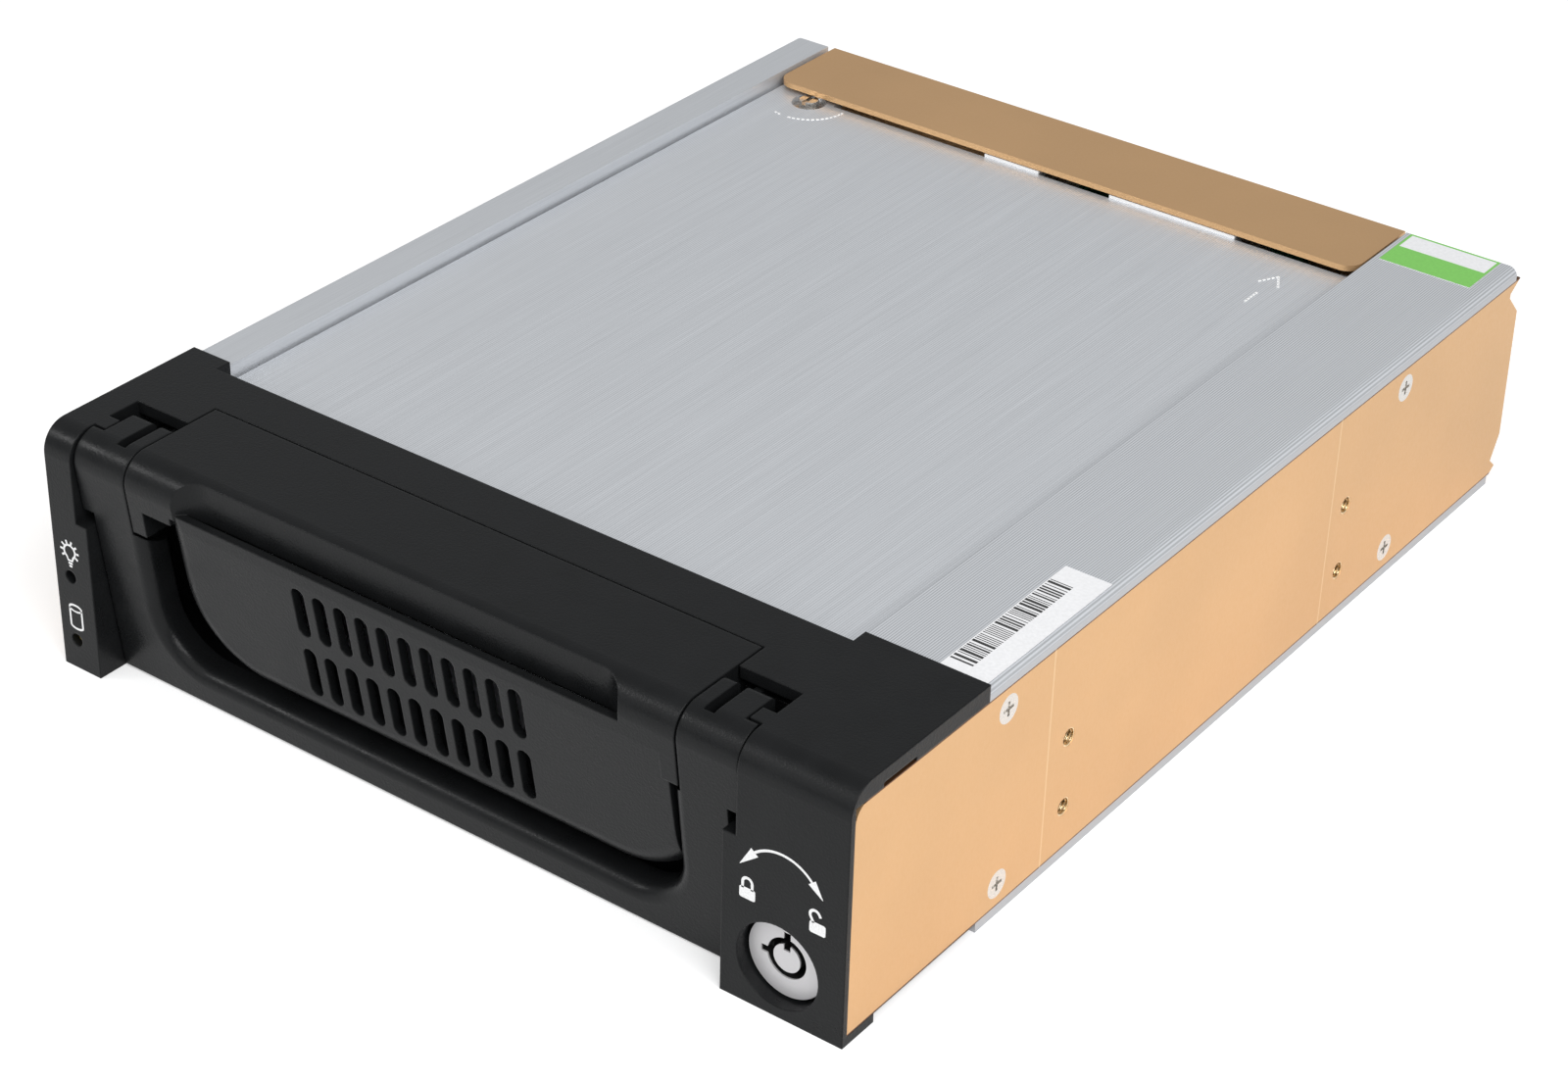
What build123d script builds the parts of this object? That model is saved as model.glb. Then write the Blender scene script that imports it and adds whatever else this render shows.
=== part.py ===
from build123d import *
import os

os.makedirs("parts", exist_ok=True)

# Overall size of the half-height bay frame, in millimetres
width = 146.0
depth = 188.0
height = 41.3
side = width / 2
front = -depth / 2

# Fits between pieces that move
slide_gap = 0.35
lid_gap = 0.3
seam_gap = 0.35
pivot_gap = 0.05
turn_gap = 0.05
socket_gap = 0.4
fork_gap = 0.3
notch_gap = 0.4

# Light post on the left, lock block on the right and the carrier bay between them
post_w = 7.55
block_w = 20.25
bay_lo = -side + post_w
bay_hi = side - block_w
bay_x = (bay_lo + bay_hi) / 2
bay_half = (bay_hi - bay_lo) / 2

# Side plates, with a stepped outline at the rear
plate_t = 1.0
plate_front = 1.0
plate_bottom = 1.6
plate_drop = 2.8
plate_corner = 2.8
tail_high = [(1.2, 0.0), (4.7, 2.2), (0.6, 6.4)]
tail_low = [(0.0, 7.0), (2.3, 2.7), (0.4, 1.0), (2.0, 0.0)]
plate_top = height - plate_drop
plate_x = side - plate_t

# Rails
bezel_depth = 31.2
rail_t = 1.2
rail_drop = 0.5
rail_edge = 1.6
ledge_w = 8.0
rail_inset = 2.8
port_low = 15.1
port_drop = 12.3
port_screw_r = 1.2
rail_top = height - rail_drop
rail_rear = depth - rail_inset
rail_outer = plate_x - rail_t
port_w = post_w - plate_t - rail_t - rail_t
port_z = [port_low, height - port_drop]

# Bay mounting holes and side screws
bay_hole_r = 1.5
bay_hole_y = 52.6
bay_hole_pitch_y = 79.25
bay_hole_z = 9.14
bay_hole_pitch_z = 11.94
side_screw_front = 36.1
side_screw_back = 39.95
side_screw_low = 5.5
side_screw_drop = 3.7
side_screw_y = [side_screw_front, depth - side_screw_back]
side_screw_z = [side_screw_low, plate_top - side_screw_drop]
side_screw_r = 1.25
side_screw_head_r = 2.25
side_screw_len = 5.0
recess_len = 2.4
recess_w = 0.5
recess_depth = 0.5

# Front bezel
brow_r = 4.4
bezel_t = 2.0
bezel_bar_rear = 28.4
bezel_wall = 1.6
post_wall = 1.0
sill_front = 20.0
lip_depth = 7.1
window_y = 7.0
window_len = 7.3
window_h = 0.7
spigot_len = 5.0
spigot_h = 2.4
spigot_gap = 0.25
shelf_t = 2.1
block_face = 6.2
spigot_w = port_w - spigot_gap

# Hood, handle and pivot
arm_room = 8.6
hood_depth = 19.5
hood_t = 2.0
face_top_y = 0.5
face_low_y = 4.9
face_low_z = 0.5
arm_step = 1.25
arm_t = 5.2
bar_top = 6.0
grip_corner = 9.0
grip_round = 2.0
arm_rear = 11.6
arm_rear_round = 1.2
arm_neck_y = 6.6
arm_neck_drop = 14.8
pivot_y = 8.5
pivot_drop = 5.8
pin_r = 1.2
pin_in_gap = 0.45
pin_out_gap = 1.35
lug_r = 3.2
lug_t = 1.2
lug_inset = 3.05
fork_front = 3.6
fork_drop = 9.8
wing_out = 1.8
wing_h = 12.5
wing_r = 6.8
notch_h = 14.7
notch_rear = 14.2
sweep_rear = 15.8
tongue_front = 5.6
tongue_rear = 8.4
tongue_t = 2.1
hood_half = bay_half - arm_room
arm_out = bay_half - seam_gap
arm_in_high = hood_half + seam_gap
arm_in_low = hood_half - arm_step
arm_neck_z = height - arm_neck_drop
lean = (face_low_y - face_top_y) / (height - brow_r - face_low_z)
face_base_y = face_low_y + lean * face_low_z
face_high_y = face_base_y - lean * height
pivot_z = height - pivot_drop
pin_in = arm_in_high + pin_in_gap
pin_out = arm_out - pin_out_gap
lug_half = arm_in_high + lug_inset
fork_floor = height - fork_drop
wing_half = bay_half + wing_out
wing_low = height - wing_h
notch_half = wing_half + notch_gap
notch_floor = height - notch_h

# Vented pod and hood band
cheek_outer_w = 2.8
cheek_inner_w = 5.75
cheek_outer_h = 12.5
cheek_inner_h = 8.0
pod_low = 8.6
pod_drop = 5.8
pod_wall = 1.5
pod_corner = 15.0
pod_round = 4.0
pod_over = 1.5
pod_lean = 0.16
band_y = 3.2
band_h = 6.7
band_corner = 5.5
base_front = 16.0
base_t = 2.0
slot_shift = 2.6
slot_pitch = 4.0
slot_count = 11
slot_w = 2.4
slot_low_gap = 3.95
slot_high_gap = 3.15
slot_row_gap = 2.4
cheek_outer = hood_half - cheek_outer_w
cheek_outer_low = height - cheek_outer_h
cheek_low = height - cheek_inner_h
cheek_corner_y = face_base_y - lean * cheek_outer_low
cheek_swing_r = ((pivot_y - cheek_corner_y) ** 2 + (pivot_z - cheek_outer_low) ** 2) ** 0.5
cheek_half = cheek_outer - cheek_inner_w
cheek_face_y = face_base_y - lean * cheek_low
band_low = height - band_h
chin_y = face_low_y + arm_t + 2 * seam_gap
pod_lo = bay_x - cheek_half - pod_over
pod_hi = bay_x + arm_in_low - seam_gap
pod_top = height - pod_drop
pod_base_y = cheek_face_y + pod_lean * cheek_low
pod_high_y = pod_base_y - pod_lean * height
slot_len = (pod_top - pod_low - slot_low_gap - slot_high_gap - slot_row_gap) / 2
slot_z = [pod_low + slot_low_gap + slot_len / 2, pod_top - slot_high_gap - slot_len / 2]

# Carrier tray
tray_t = 1.2
tray_drop = 4.3
tray_inset = 16.0
tray_flange = 4.2
tray_back_drop = 5.0
drive_hole_r = 1.9
drive_pitch_x = 95.25
drive_pitch_y = 44.45
drive_hole_back = 69.5
tray_screw_drop = 5.0
tray_screw_r = 1.25
tray_screw_head_r = 2.2
tray_screw_len = 4.0
tray_boss = 5.0
tray_boss_len = 8.0
tray_half = bay_half - slide_gap
tray_front = base_front + base_t
tray_rear = depth - tray_inset
tray_floor = rail_t + slide_gap
tray_top = height - tray_drop
tray_back_top = tray_top - tray_back_drop
tray_screw_y = tray_front + tray_boss_len / 2

# Sliding lid and its turning latch
lid_t = 1.2
lid_inset = 0.25
lid_front_gap = 0.8
lid_rear_gap = 0.2
hook_front = 34.0
hook_rear_gap = 17.0
hook_wall = 1.0
hook_foot = 2.8
hook_t = 1.5
rib_shift = [-8.2, 23.8]
rib_w = [11.0, 24.4]
rib_len = 3.0
latch_land = 4.4
latch_inset = 8.65
latch_back = 4.5
latch_r = 3.05
latch_sink = 0.9
latch_post_r = 1.7
latch_drop = 4.0
latch_arm_t = 1.2
latch_arm_r = 1.6
latch_reach = 6.6
latch_slot_w = 0.8
latch_slot_d = 0.5
latch_room_gap = 0.5
lid_half = tray_half - lid_inset
lid_front = hood_depth + lid_front_gap
lid_rear = tray_rear - lid_rear_gap
lid_low = tray_top + lid_gap
lid_top = lid_low + lid_t
hook_rear = tray_rear - hook_rear_gap
latch_x = bay_lo + latch_inset
latch_y = tray_rear - latch_back
latch_low = tray_top - latch_drop

# Rear panel
panel_t = 1.0
flange_len = 16.6
flange_inset = 0.7
flange_drop = 0.9
flange_corner = 3.0
foot_len = 12.2
rear_screw_head_r = 2.3
rear_screw_head_t = 1.4
rear_screw_len = 6.0
vent_inset = 4.5
vent_pitch = 5.0
vent_count = 7
vent_w = 2.4
vent_len = 18.0
vent_z = 17.0
panel_rear = rail_rear + panel_t
flange_front = rail_rear - flange_len
flange_half = bay_half - flange_inset
flange_top = height - flange_drop
flange_low = flange_top - panel_t
foot_front = rail_rear - foot_len

# Docking boards and plugs
board_t = 1.6
backplane_left = 23.0
backplane_right = 42.0
backplane_low = 5.0
backplane_drop = 6.3
plug_left = 9.4
plug_right = 22.85
plug_w = [9.6, 22.0]
plug_h = 5.4
plug_drop = 12.8
plug_len = 5.0
dock_wall = 1.2
dock_gap = 2.2
dock_end_gap = 0.8
carrier_board_left = 34.0
carrier_board_right = 40.0
carrier_board_low = 4.0
carrier_board_drop = 8.3
drive_socket_w = 42.0
drive_socket_h = 7.0
drive_socket_d = 4.0
drive_socket_z = 9.0
drive_slot_w = 38.0
drive_slot_h = 2.4
drive_slot_d = 3.0
data_port_left = 5.5
data_port_w = 15.0
data_port_h = 6.0
power_inlet_right = 22.5
power_inlet_w = 22.0
power_inlet_h = 9.0
rear_port_z = 16.0
rear_port_wall = 1.0
rear_port_out = 1.5
contact_r = 1.6
contact_depth = 1.5
contact_pitch = 5.08
contact_count = 4
plug_x = [bay_x - plug_left, bay_x + plug_right]
plug_z = height - plug_drop
plug_rear = tray_rear + plug_len
dock_front = tray_rear + dock_gap
dock_bottom = plug_rear + dock_end_gap
data_port_x = bay_x - data_port_left
power_inlet_x = bay_x + power_inlet_right

# Status lights
light_inset = 3.1
light_r = 1.1
light_low = 5.2
light_drop = 10.1
light_face = 1.3
light_board_y = 9.0
light_board_t = 1.2
light_board_low = 2.6
light_board_drop = 6.6
light_x = -side + light_inset
light_z = [light_low, notch_floor - light_drop]

# Key lock
lock_inset = 10.9
lock_z = 8.4
lock_hole_r = 6.7
lock_face = 2.2
lock_ring_r = 6.25
lock_ring_t = 2.0
lock_barrel_r = 5.0
lock_barrel_rear = 17.0
lock_bore_r = 4.0
lock_key_r = 3.2
lock_key_depth = 4.0
lock_post_r = 2.2
lock_mark_w = 1.1
lock_mark_len = 1.0
lock_mark_d = 1.5
lock_nut_flats = 12.6
lock_nut_sides = 6
lock_nut_t = 3.0
lock_shaft_r = 2.4
cam_front = 20.0
cam_t = 1.5
cam_r = 3.5
cam_room = 3.1
cam_screw_r = 3.0
cam_screw_t = 1.6
cam_window_gap = 0.6
cam_window_back_gap = 1.6
lock_x = side - lock_inset
cam_reach = notch_floor - shelf_t - cam_room - lock_z
cam_window_front = tray_front + cam_window_gap
cam_window_rear = cam_front + cam_t + cam_window_back_gap
cam_window_low = lock_z - cam_r - cam_window_gap
cam_window_high = lock_z + cam_reach
tray_screw_z = [cam_window_high + cam_window_gap + tray_boss / 2, tray_top - tray_screw_drop]


def block(x0, x1, y0, y1, z0, z1, mode=Mode.ADD):
    """An upright block between two planes across, two planes back and two planes up."""
    with Locations(((x0 + x1) / 2, front + (y0 + y1) / 2, (z0 + z1) / 2)):
        Box(abs(x1 - x0), abs(y1 - y0), abs(z1 - z0), mode=mode)


def rod_x(x0, x1, y, z, r, mode=Mode.ADD):
    """A round rod lying across the object."""
    with Locations(Location(((x0 + x1) / 2, front + y, z), (0, 90, 0))):
        Cylinder(r, abs(x1 - x0), mode=mode)


def rod_y(x, y0, y1, z, r, mode=Mode.ADD):
    """A round rod lying front to back."""
    with Locations(Location((x, front + (y0 + y1) / 2, z), (90, 0, 0))):
        Cylinder(r, abs(y1 - y0), mode=mode)


def rod_z(x, y, z0, z1, r, mode=Mode.ADD):
    """A round rod standing upright."""
    with Locations((x, front + y, (z0 + z1) / 2)):
        Cylinder(r, abs(z1 - z0), mode=mode)


def panel(a0, a1, b0, b1, mode=Mode.ADD):
    """A rectangle between its edges in the sketch being drawn."""
    with Locations(((a0 + a1) / 2, (b0 + b1) / 2)):
        Rectangle(abs(a1 - a0), abs(b1 - b0), mode=mode)


def across(y):
    """The upright sketch plane that faces the front, a distance back from the front face."""
    return Plane.XZ.offset(-(front + y))


def edge_in_grip(edge):
    """True for an edge of the finger gap, between the arms and above the bar."""
    middle = edge.center()
    return abs(middle.X - bay_x) < arm_in_high and bar_top - grip_round < middle.Z < height - brow_r


# Front bezel with a light post, a lock block and pockets for the handle
with BuildPart() as front_bezel:
    block(-side, side, 0, bezel_depth, 0, height)
    brow = front_bezel.edges().filter_by(Axis.X).group_by(Axis.Z)[-1].sort_by(Axis.Y)[0]
    fillet(brow, brow_r)
    block(bay_lo, bay_hi, bezel_bar_rear, bezel_depth, 0, height, mode=Mode.SUBTRACT)
    block(bay_lo, bay_hi, 0, bezel_depth, 0, height - bezel_t, mode=Mode.SUBTRACT)
    block(bay_x - arm_in_high, bay_x + arm_in_high, 0, hood_depth + seam_gap, 0, height, mode=Mode.SUBTRACT)
    for s in (-1, 1):
        block(
            bay_x + s * hood_half,
            bay_x + s * notch_half,
            0,
            notch_rear,
            notch_floor,
            height,
            mode=Mode.SUBTRACT,
        )
        block(
            bay_x + s * hood_half,
            bay_x + s * notch_half,
            0,
            sweep_rear,
            notch_floor,
            height - bezel_t,
            mode=Mode.SUBTRACT,
        )
        block(
            bay_x + s * bay_half,
            bay_x + s * notch_half,
            tongue_front,
            tongue_rear,
            height - tongue_t,
            height,
        )
        block(s * plate_x, s * side, plate_front, bezel_depth, plate_bottom, plate_top, mode=Mode.SUBTRACT)
        block(s * plate_x, s * side, lip_depth, bezel_depth, 0, plate_bottom, mode=Mode.SUBTRACT)
        block(
            s * plate_x,
            s * side,
            window_y,
            window_y + window_len,
            plate_top,
            plate_top + window_h,
            mode=Mode.SUBTRACT,
        )
    block(bay_lo, bay_hi, sill_front, bezel_bar_rear, 0, rail_t)
    block(
        -plate_x + post_wall,
        bay_lo - bezel_wall,
        bezel_t,
        bezel_depth,
        bezel_wall,
        notch_floor - shelf_t,
        mode=Mode.SUBTRACT,
    )
    for z in light_z:
        rod_y(light_x, 0, bezel_t, z, light_r, mode=Mode.SUBTRACT)
    block(
        bay_hi + bezel_wall,
        plate_x - bezel_wall,
        block_face,
        bezel_depth,
        bezel_wall,
        notch_floor - shelf_t,
        mode=Mode.SUBTRACT,
    )
    block(
        bay_x + notch_half + bezel_wall,
        plate_x - bezel_wall,
        bezel_t,
        bezel_depth,
        notch_floor,
        height - bezel_t,
        mode=Mode.SUBTRACT,
    )
    rod_y(lock_x, 0, lock_face + lock_ring_t, lock_z, lock_hole_r, mode=Mode.SUBTRACT)
    rod_y(lock_x, 0, block_face, lock_z, lock_barrel_r, mode=Mode.SUBTRACT)
    block(
        bay_hi,
        bay_hi + bezel_wall,
        cam_window_front,
        cam_window_rear,
        cam_window_low,
        cam_window_high,
        mode=Mode.SUBTRACT,
    )
    for s in (-1, 1):
        block(
            s * (rail_outer - spigot_w),
            s * rail_outer,
            bezel_depth - spigot_len,
            bezel_depth + spigot_len,
            rail_top - rail_t - spigot_h,
            rail_top - rail_t,
        )
front_bezel.part.label = "front_bezel"
export_step(front_bezel.part, "parts/front_bezel.step")

# Left rail, a hollow extrusion with a ledge that the carrier rides on
with BuildPart() as left_rail:
    with BuildSketch(across(bezel_depth)) as left_profile:
        panel(-side, bay_lo, 0, rail_top)
        fillet(left_profile.vertices().group_by(Axis.Y)[-1].sort_by(Axis.X)[0], rail_edge)
        panel(-rail_outer, bay_lo - rail_t, rail_t, rail_top - rail_t, mode=Mode.SUBTRACT)
        panel(-side, -plate_x, plate_bottom, plate_top, mode=Mode.SUBTRACT)
        panel(bay_lo, bay_lo + ledge_w, 0, rail_t)
        for z in port_z:
            panel(bay_lo - rail_t - port_w, bay_lo - rail_t, z - port_w / 2, z + port_w / 2)
    extrude(amount=-(rail_rear - bezel_depth))
    for z in port_z:
        rod_y(
            bay_lo - rail_t - port_w / 2,
            rail_rear - rear_screw_len,
            rail_rear,
            z,
            port_screw_r,
            mode=Mode.SUBTRACT,
        )
    for y in side_screw_y:
        for z in side_screw_z:
            rod_x(-plate_x, -rail_outer, y, z, side_screw_r, mode=Mode.SUBTRACT)
    for y in (bay_hole_y, bay_hole_y + bay_hole_pitch_y):
        for z in (bay_hole_z, bay_hole_z + bay_hole_pitch_z):
            rod_x(-plate_x, -rail_outer, y, z, bay_hole_r, mode=Mode.SUBTRACT)
left_rail.part.label = "left_rail"
export_step(left_rail.part, "parts/left_rail.step")

# Right rail, the wider hollow extrusion behind the lock block
with BuildPart() as right_rail:
    with BuildSketch(across(bezel_depth)) as right_profile:
        panel(bay_hi, side, 0, rail_top)
        fillet(right_profile.vertices().group_by(Axis.Y)[-1].sort_by(Axis.X)[-1], rail_edge)
        panel(bay_hi + rail_t, rail_outer, rail_t, rail_top - rail_t, mode=Mode.SUBTRACT)
        panel(plate_x, side, plate_bottom, plate_top, mode=Mode.SUBTRACT)
        panel(bay_hi - ledge_w, bay_hi, 0, rail_t)
        for z in port_z:
            panel(bay_hi + rail_t, bay_hi + rail_t + port_w, z - port_w / 2, z + port_w / 2)
    extrude(amount=-(rail_rear - bezel_depth))
    for z in port_z:
        rod_y(
            bay_hi + rail_t + port_w / 2,
            rail_rear - rear_screw_len,
            rail_rear,
            z,
            port_screw_r,
            mode=Mode.SUBTRACT,
        )
    for y in side_screw_y:
        for z in side_screw_z:
            rod_x(rail_outer, plate_x, y, z, side_screw_r, mode=Mode.SUBTRACT)
    for y in (bay_hole_y, bay_hole_y + bay_hole_pitch_y):
        for z in (bay_hole_z, bay_hole_z + bay_hole_pitch_z):
            rod_x(rail_outer, plate_x, y, z, bay_hole_r, mode=Mode.SUBTRACT)
right_rail.part.label = "right_rail"
export_step(right_rail.part, "parts/right_rail.step")

# Side plates with the bay mounting holes and countersunk screw seats
tail = [(front + depth - back, plate_top - down) for back, down in tail_high]
tail += [(front + depth - back, plate_bottom + up) for back, up in tail_low]
plate_outline = [
    (front + plate_front, plate_bottom),
    (front + plate_front, plate_top),
    *tail,
]
for s, plate_name in ((-1, "left_side_plate"), (1, "right_side_plate")):
    with BuildPart() as plate:
        with BuildSketch(Plane.YZ.offset(s * plate_x)) as plate_sketch:
            with BuildLine():
                Polyline(*plate_outline, close=True)
            make_face()
            corner = plate_sketch.vertices().group_by(Axis.Y)[-1].sort_by(Axis.X)[0]
            fillet(corner, plate_corner)
        extrude(amount=s * plate_t)
        for y in (bay_hole_y, bay_hole_y + bay_hole_pitch_y):
            for z in (bay_hole_z, bay_hole_z + bay_hole_pitch_z):
                rod_x(s * plate_x, s * side, y, z, bay_hole_r, mode=Mode.SUBTRACT)
        for y in side_screw_y:
            for z in side_screw_z:
                with Locations(Location((s * (plate_x + plate_t / 2), front + y, z), (0, s * 90, 0))):
                    Cone(side_screw_r, side_screw_head_r, plate_t, mode=Mode.SUBTRACT)
    plate.part.label = plate_name
    export_step(plate.part, "parts/" + plate_name + ".step")

# Countersunk screws that hold both side plates to the rails
with BuildPart() as side_screws:
    for s in (-1, 1):
        for y in side_screw_y:
            for z in side_screw_z:
                with Locations(Location((s * (plate_x + plate_t / 2), front + y, z), (0, s * 90, 0))):
                    Cone(side_screw_r, side_screw_head_r, plate_t)
                rod_x(s * (side - side_screw_len), s * plate_x, y, z, side_screw_r)
                block(
                    s * (side - recess_depth),
                    s * side,
                    y - recess_len / 2,
                    y + recess_len / 2,
                    z - recess_w / 2,
                    z + recess_w / 2,
                    mode=Mode.SUBTRACT,
                )
                block(
                    s * (side - recess_depth),
                    s * side,
                    y - recess_w / 2,
                    y + recess_w / 2,
                    z - recess_len / 2,
                    z + recess_len / 2,
                    mode=Mode.SUBTRACT,
                )
side_screws.part.label = "side_screws"
export_step(side_screws.part, "parts/side_screws.step")

# Rear panel with a flange over the carrier, port cut-outs and air slots
with BuildPart() as rear_panel:
    block(-plate_x, plate_x, rail_rear, panel_rear, 0, flange_top)
    for s in (-1, 1):
        block(
            bay_x + s * flange_half,
            s * plate_x,
            rail_rear,
            panel_rear,
            plate_top,
            flange_top,
            mode=Mode.SUBTRACT,
        )
    block(
        bay_x - flange_half,
        bay_x + flange_half,
        flange_front,
        panel_rear,
        flange_low,
        flange_top,
    )
    corners = rear_panel.edges().filter_by(Axis.Z).group_by(Axis.Y)[0]
    fillet(corners, flange_corner)
    block(bay_lo + ledge_w, bay_hi - ledge_w, foot_front, panel_rear, 0, panel_t)
    for x, w, h in (
        (data_port_x, data_port_w, data_port_h),
        (power_inlet_x, power_inlet_w, power_inlet_h),
    ):
        block(
            x - w / 2,
            x + w / 2,
            rail_rear,
            panel_rear,
            rear_port_z - h / 2,
            rear_port_z + h / 2,
            mode=Mode.SUBTRACT,
        )
    with BuildSketch(across(rail_rear)):
        with Locations((bay_lo + vent_inset + vent_pitch * (vent_count - 1) / 2, vent_z)):
            with GridLocations(vent_pitch, vent_len, vent_count, 1):
                SlotOverall(vent_len, vent_w, rotation=90)
    extrude(amount=-panel_t, mode=Mode.SUBTRACT)
    for x in (bay_lo - rail_t - port_w / 2, bay_hi + rail_t + port_w / 2):
        for z in port_z:
            rod_y(x, rail_rear, panel_rear, z, port_screw_r, mode=Mode.SUBTRACT)
rear_panel.part.label = "rear_panel"
export_step(rear_panel.part, "parts/rear_panel.step")

# Pan head screws that hold the rear panel to the rail ends
with BuildPart() as rear_screws:
    for x in (bay_lo - rail_t - port_w / 2, bay_hi + rail_t + port_w / 2):
        for z in port_z:
            rod_y(x, panel_rear, panel_rear + rear_screw_head_t, z, rear_screw_head_r)
            rod_y(x, rail_rear - rear_screw_len, panel_rear, z, port_screw_r)
            for across_w, up_w in ((recess_len, recess_w), (recess_w, recess_len)):
                block(
                    x - across_w / 2,
                    x + across_w / 2,
                    panel_rear + rear_screw_head_t - recess_depth,
                    panel_rear + rear_screw_head_t,
                    z - up_w / 2,
                    z + up_w / 2,
                    mode=Mode.SUBTRACT,
                )
rear_screws.part.label = "rear_screws"
export_step(rear_screws.part, "parts/rear_screws.step")

# Backplane board behind the carrier
with BuildPart() as backplane_board:
    block(
        bay_x - backplane_left,
        bay_x + backplane_right,
        rail_rear - board_t,
        rail_rear,
        backplane_low,
        height - backplane_drop,
    )
backplane_board.part.label = "backplane_board"
export_step(backplane_board.part, "parts/backplane_board.step")

# Docking sockets on the backplane, open to the front
with BuildPart() as backplane_sockets:
    for x, w in zip(plug_x, plug_w):
        mouth_w = w / 2 + socket_gap
        mouth_h = plug_h / 2 + socket_gap
        block(
            x - mouth_w - dock_wall,
            x + mouth_w + dock_wall,
            dock_front,
            rail_rear - board_t,
            plug_z - mouth_h - dock_wall,
            plug_z + mouth_h + dock_wall,
        )
        block(
            x - mouth_w,
            x + mouth_w,
            dock_front,
            dock_bottom,
            plug_z - mouth_h,
            plug_z + mouth_h,
            mode=Mode.SUBTRACT,
        )
backplane_sockets.part.label = "backplane_sockets"
export_step(backplane_sockets.part, "parts/backplane_sockets.step")

# Data port at the rear
with BuildPart() as data_port:
    block(
        data_port_x - data_port_w / 2,
        data_port_x + data_port_w / 2,
        rail_rear,
        panel_rear + rear_port_out,
        rear_port_z - data_port_h / 2,
        rear_port_z + data_port_h / 2,
    )
    block(
        data_port_x - data_port_w / 2 + rear_port_wall,
        data_port_x + data_port_w / 2 - rear_port_wall,
        rail_rear + rear_port_wall,
        panel_rear + rear_port_out,
        rear_port_z - data_port_h / 2 + rear_port_wall,
        rear_port_z + data_port_h / 2 - rear_port_wall,
        mode=Mode.SUBTRACT,
    )
    block(
        data_port_x - data_port_w / 2 + rear_port_wall,
        data_port_x + data_port_w / 2 - rear_port_wall,
        rail_rear + rear_port_wall,
        panel_rear + rear_port_wall / 2,
        rear_port_z - rear_port_wall / 2,
        rear_port_z + rear_port_wall / 2,
    )
data_port.part.label = "data_port"
export_step(data_port.part, "parts/data_port.step")

# Power inlet at the rear
with BuildPart() as power_inlet:
    block(
        power_inlet_x - power_inlet_w / 2,
        power_inlet_x + power_inlet_w / 2,
        rail_rear,
        panel_rear + rear_port_out,
        rear_port_z - power_inlet_h / 2,
        rear_port_z + power_inlet_h / 2,
    )
    with Locations(Location((power_inlet_x, front + panel_rear + rear_port_out, rear_port_z), (90, 0, 0))):
        with GridLocations(contact_pitch, contact_pitch, contact_count, 1):
            Cylinder(contact_r, contact_depth + contact_depth, mode=Mode.SUBTRACT)
power_inlet.part.label = "power_inlet"
export_step(power_inlet.part, "parts/power_inlet.step")

# Board behind the status lights
with BuildPart() as light_board:
    block(
        -plate_x + post_wall,
        bay_lo - bezel_wall,
        light_board_y,
        light_board_y + light_board_t,
        light_board_low,
        notch_floor - light_board_drop,
    )
light_board.part.label = "light_board"
export_step(light_board.part, "parts/light_board.step")

# Upper light, for power
with BuildPart() as power_light:
    rod_y(light_x, light_face, light_board_y, light_z[1], light_r)
power_light.part.label = "power_light"
export_step(power_light.part, "parts/power_light.step")

# Lower light, for drive activity
with BuildPart() as drive_light:
    rod_y(light_x, light_face, light_board_y, light_z[0], light_r)
drive_light.part.label = "drive_light"
export_step(drive_light.part, "parts/drive_light.step")

# Lock housing, a flanged barrel with a round keyway
with BuildPart() as lock_housing:
    rod_y(lock_x, lock_face, lock_face + lock_ring_t, lock_z, lock_ring_r)
    rod_y(lock_x, lock_face, lock_barrel_rear, lock_z, lock_barrel_r)
    rod_y(lock_x, lock_face, lock_barrel_rear, lock_z, lock_key_r, mode=Mode.SUBTRACT)
    rod_y(
        lock_x,
        lock_face + lock_key_depth,
        lock_barrel_rear,
        lock_z,
        lock_bore_r + turn_gap,
        mode=Mode.SUBTRACT,
    )
    block(
        lock_x - lock_mark_w / 2,
        lock_x + lock_mark_w / 2,
        lock_face,
        lock_face + lock_mark_d,
        lock_z,
        lock_z + lock_key_r + lock_mark_len,
        mode=Mode.SUBTRACT,
    )
    block(
        lock_x - lock_key_r - lock_mark_len,
        lock_x,
        lock_face,
        lock_face + lock_mark_d,
        lock_z - lock_mark_w / 2,
        lock_z + lock_mark_w / 2,
        mode=Mode.SUBTRACT,
    )
lock_housing.part.label = "lock_housing"
export_step(lock_housing.part, "parts/lock_housing.step")

# Hex nut that clamps the lock in the block
with BuildPart() as lock_nut:
    with BuildSketch(across(block_face)):
        with Locations((lock_x, lock_z)):
            RegularPolygon(lock_nut_flats / 2, lock_nut_sides, major_radius=False)
            Circle(lock_barrel_r, mode=Mode.SUBTRACT)
    extrude(amount=-lock_nut_t)
lock_nut.part.label = "lock_nut"
export_step(lock_nut.part, "parts/lock_nut.step")

# Turning lock core with the keyway post in front and a shaft for the cam behind
with BuildPart() as lock_core:
    rod_y(lock_x, lock_face, lock_face + lock_key_depth + turn_gap, lock_z, lock_post_r)
    rod_y(lock_x, lock_face + lock_key_depth + turn_gap, lock_barrel_rear, lock_z, lock_bore_r)
    rod_y(lock_x, lock_barrel_rear, cam_front + cam_t, lock_z, lock_shaft_r)
    block(
        lock_x - lock_mark_w / 2,
        lock_x + lock_mark_w / 2,
        lock_face,
        lock_face + lock_mark_d,
        lock_z + lock_post_r - lock_mark_len,
        lock_z + lock_post_r,
        mode=Mode.SUBTRACT,
    )
lock_core.part.label = "lock_core"
export_step(lock_core.part, "parts/lock_core.step")

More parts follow.
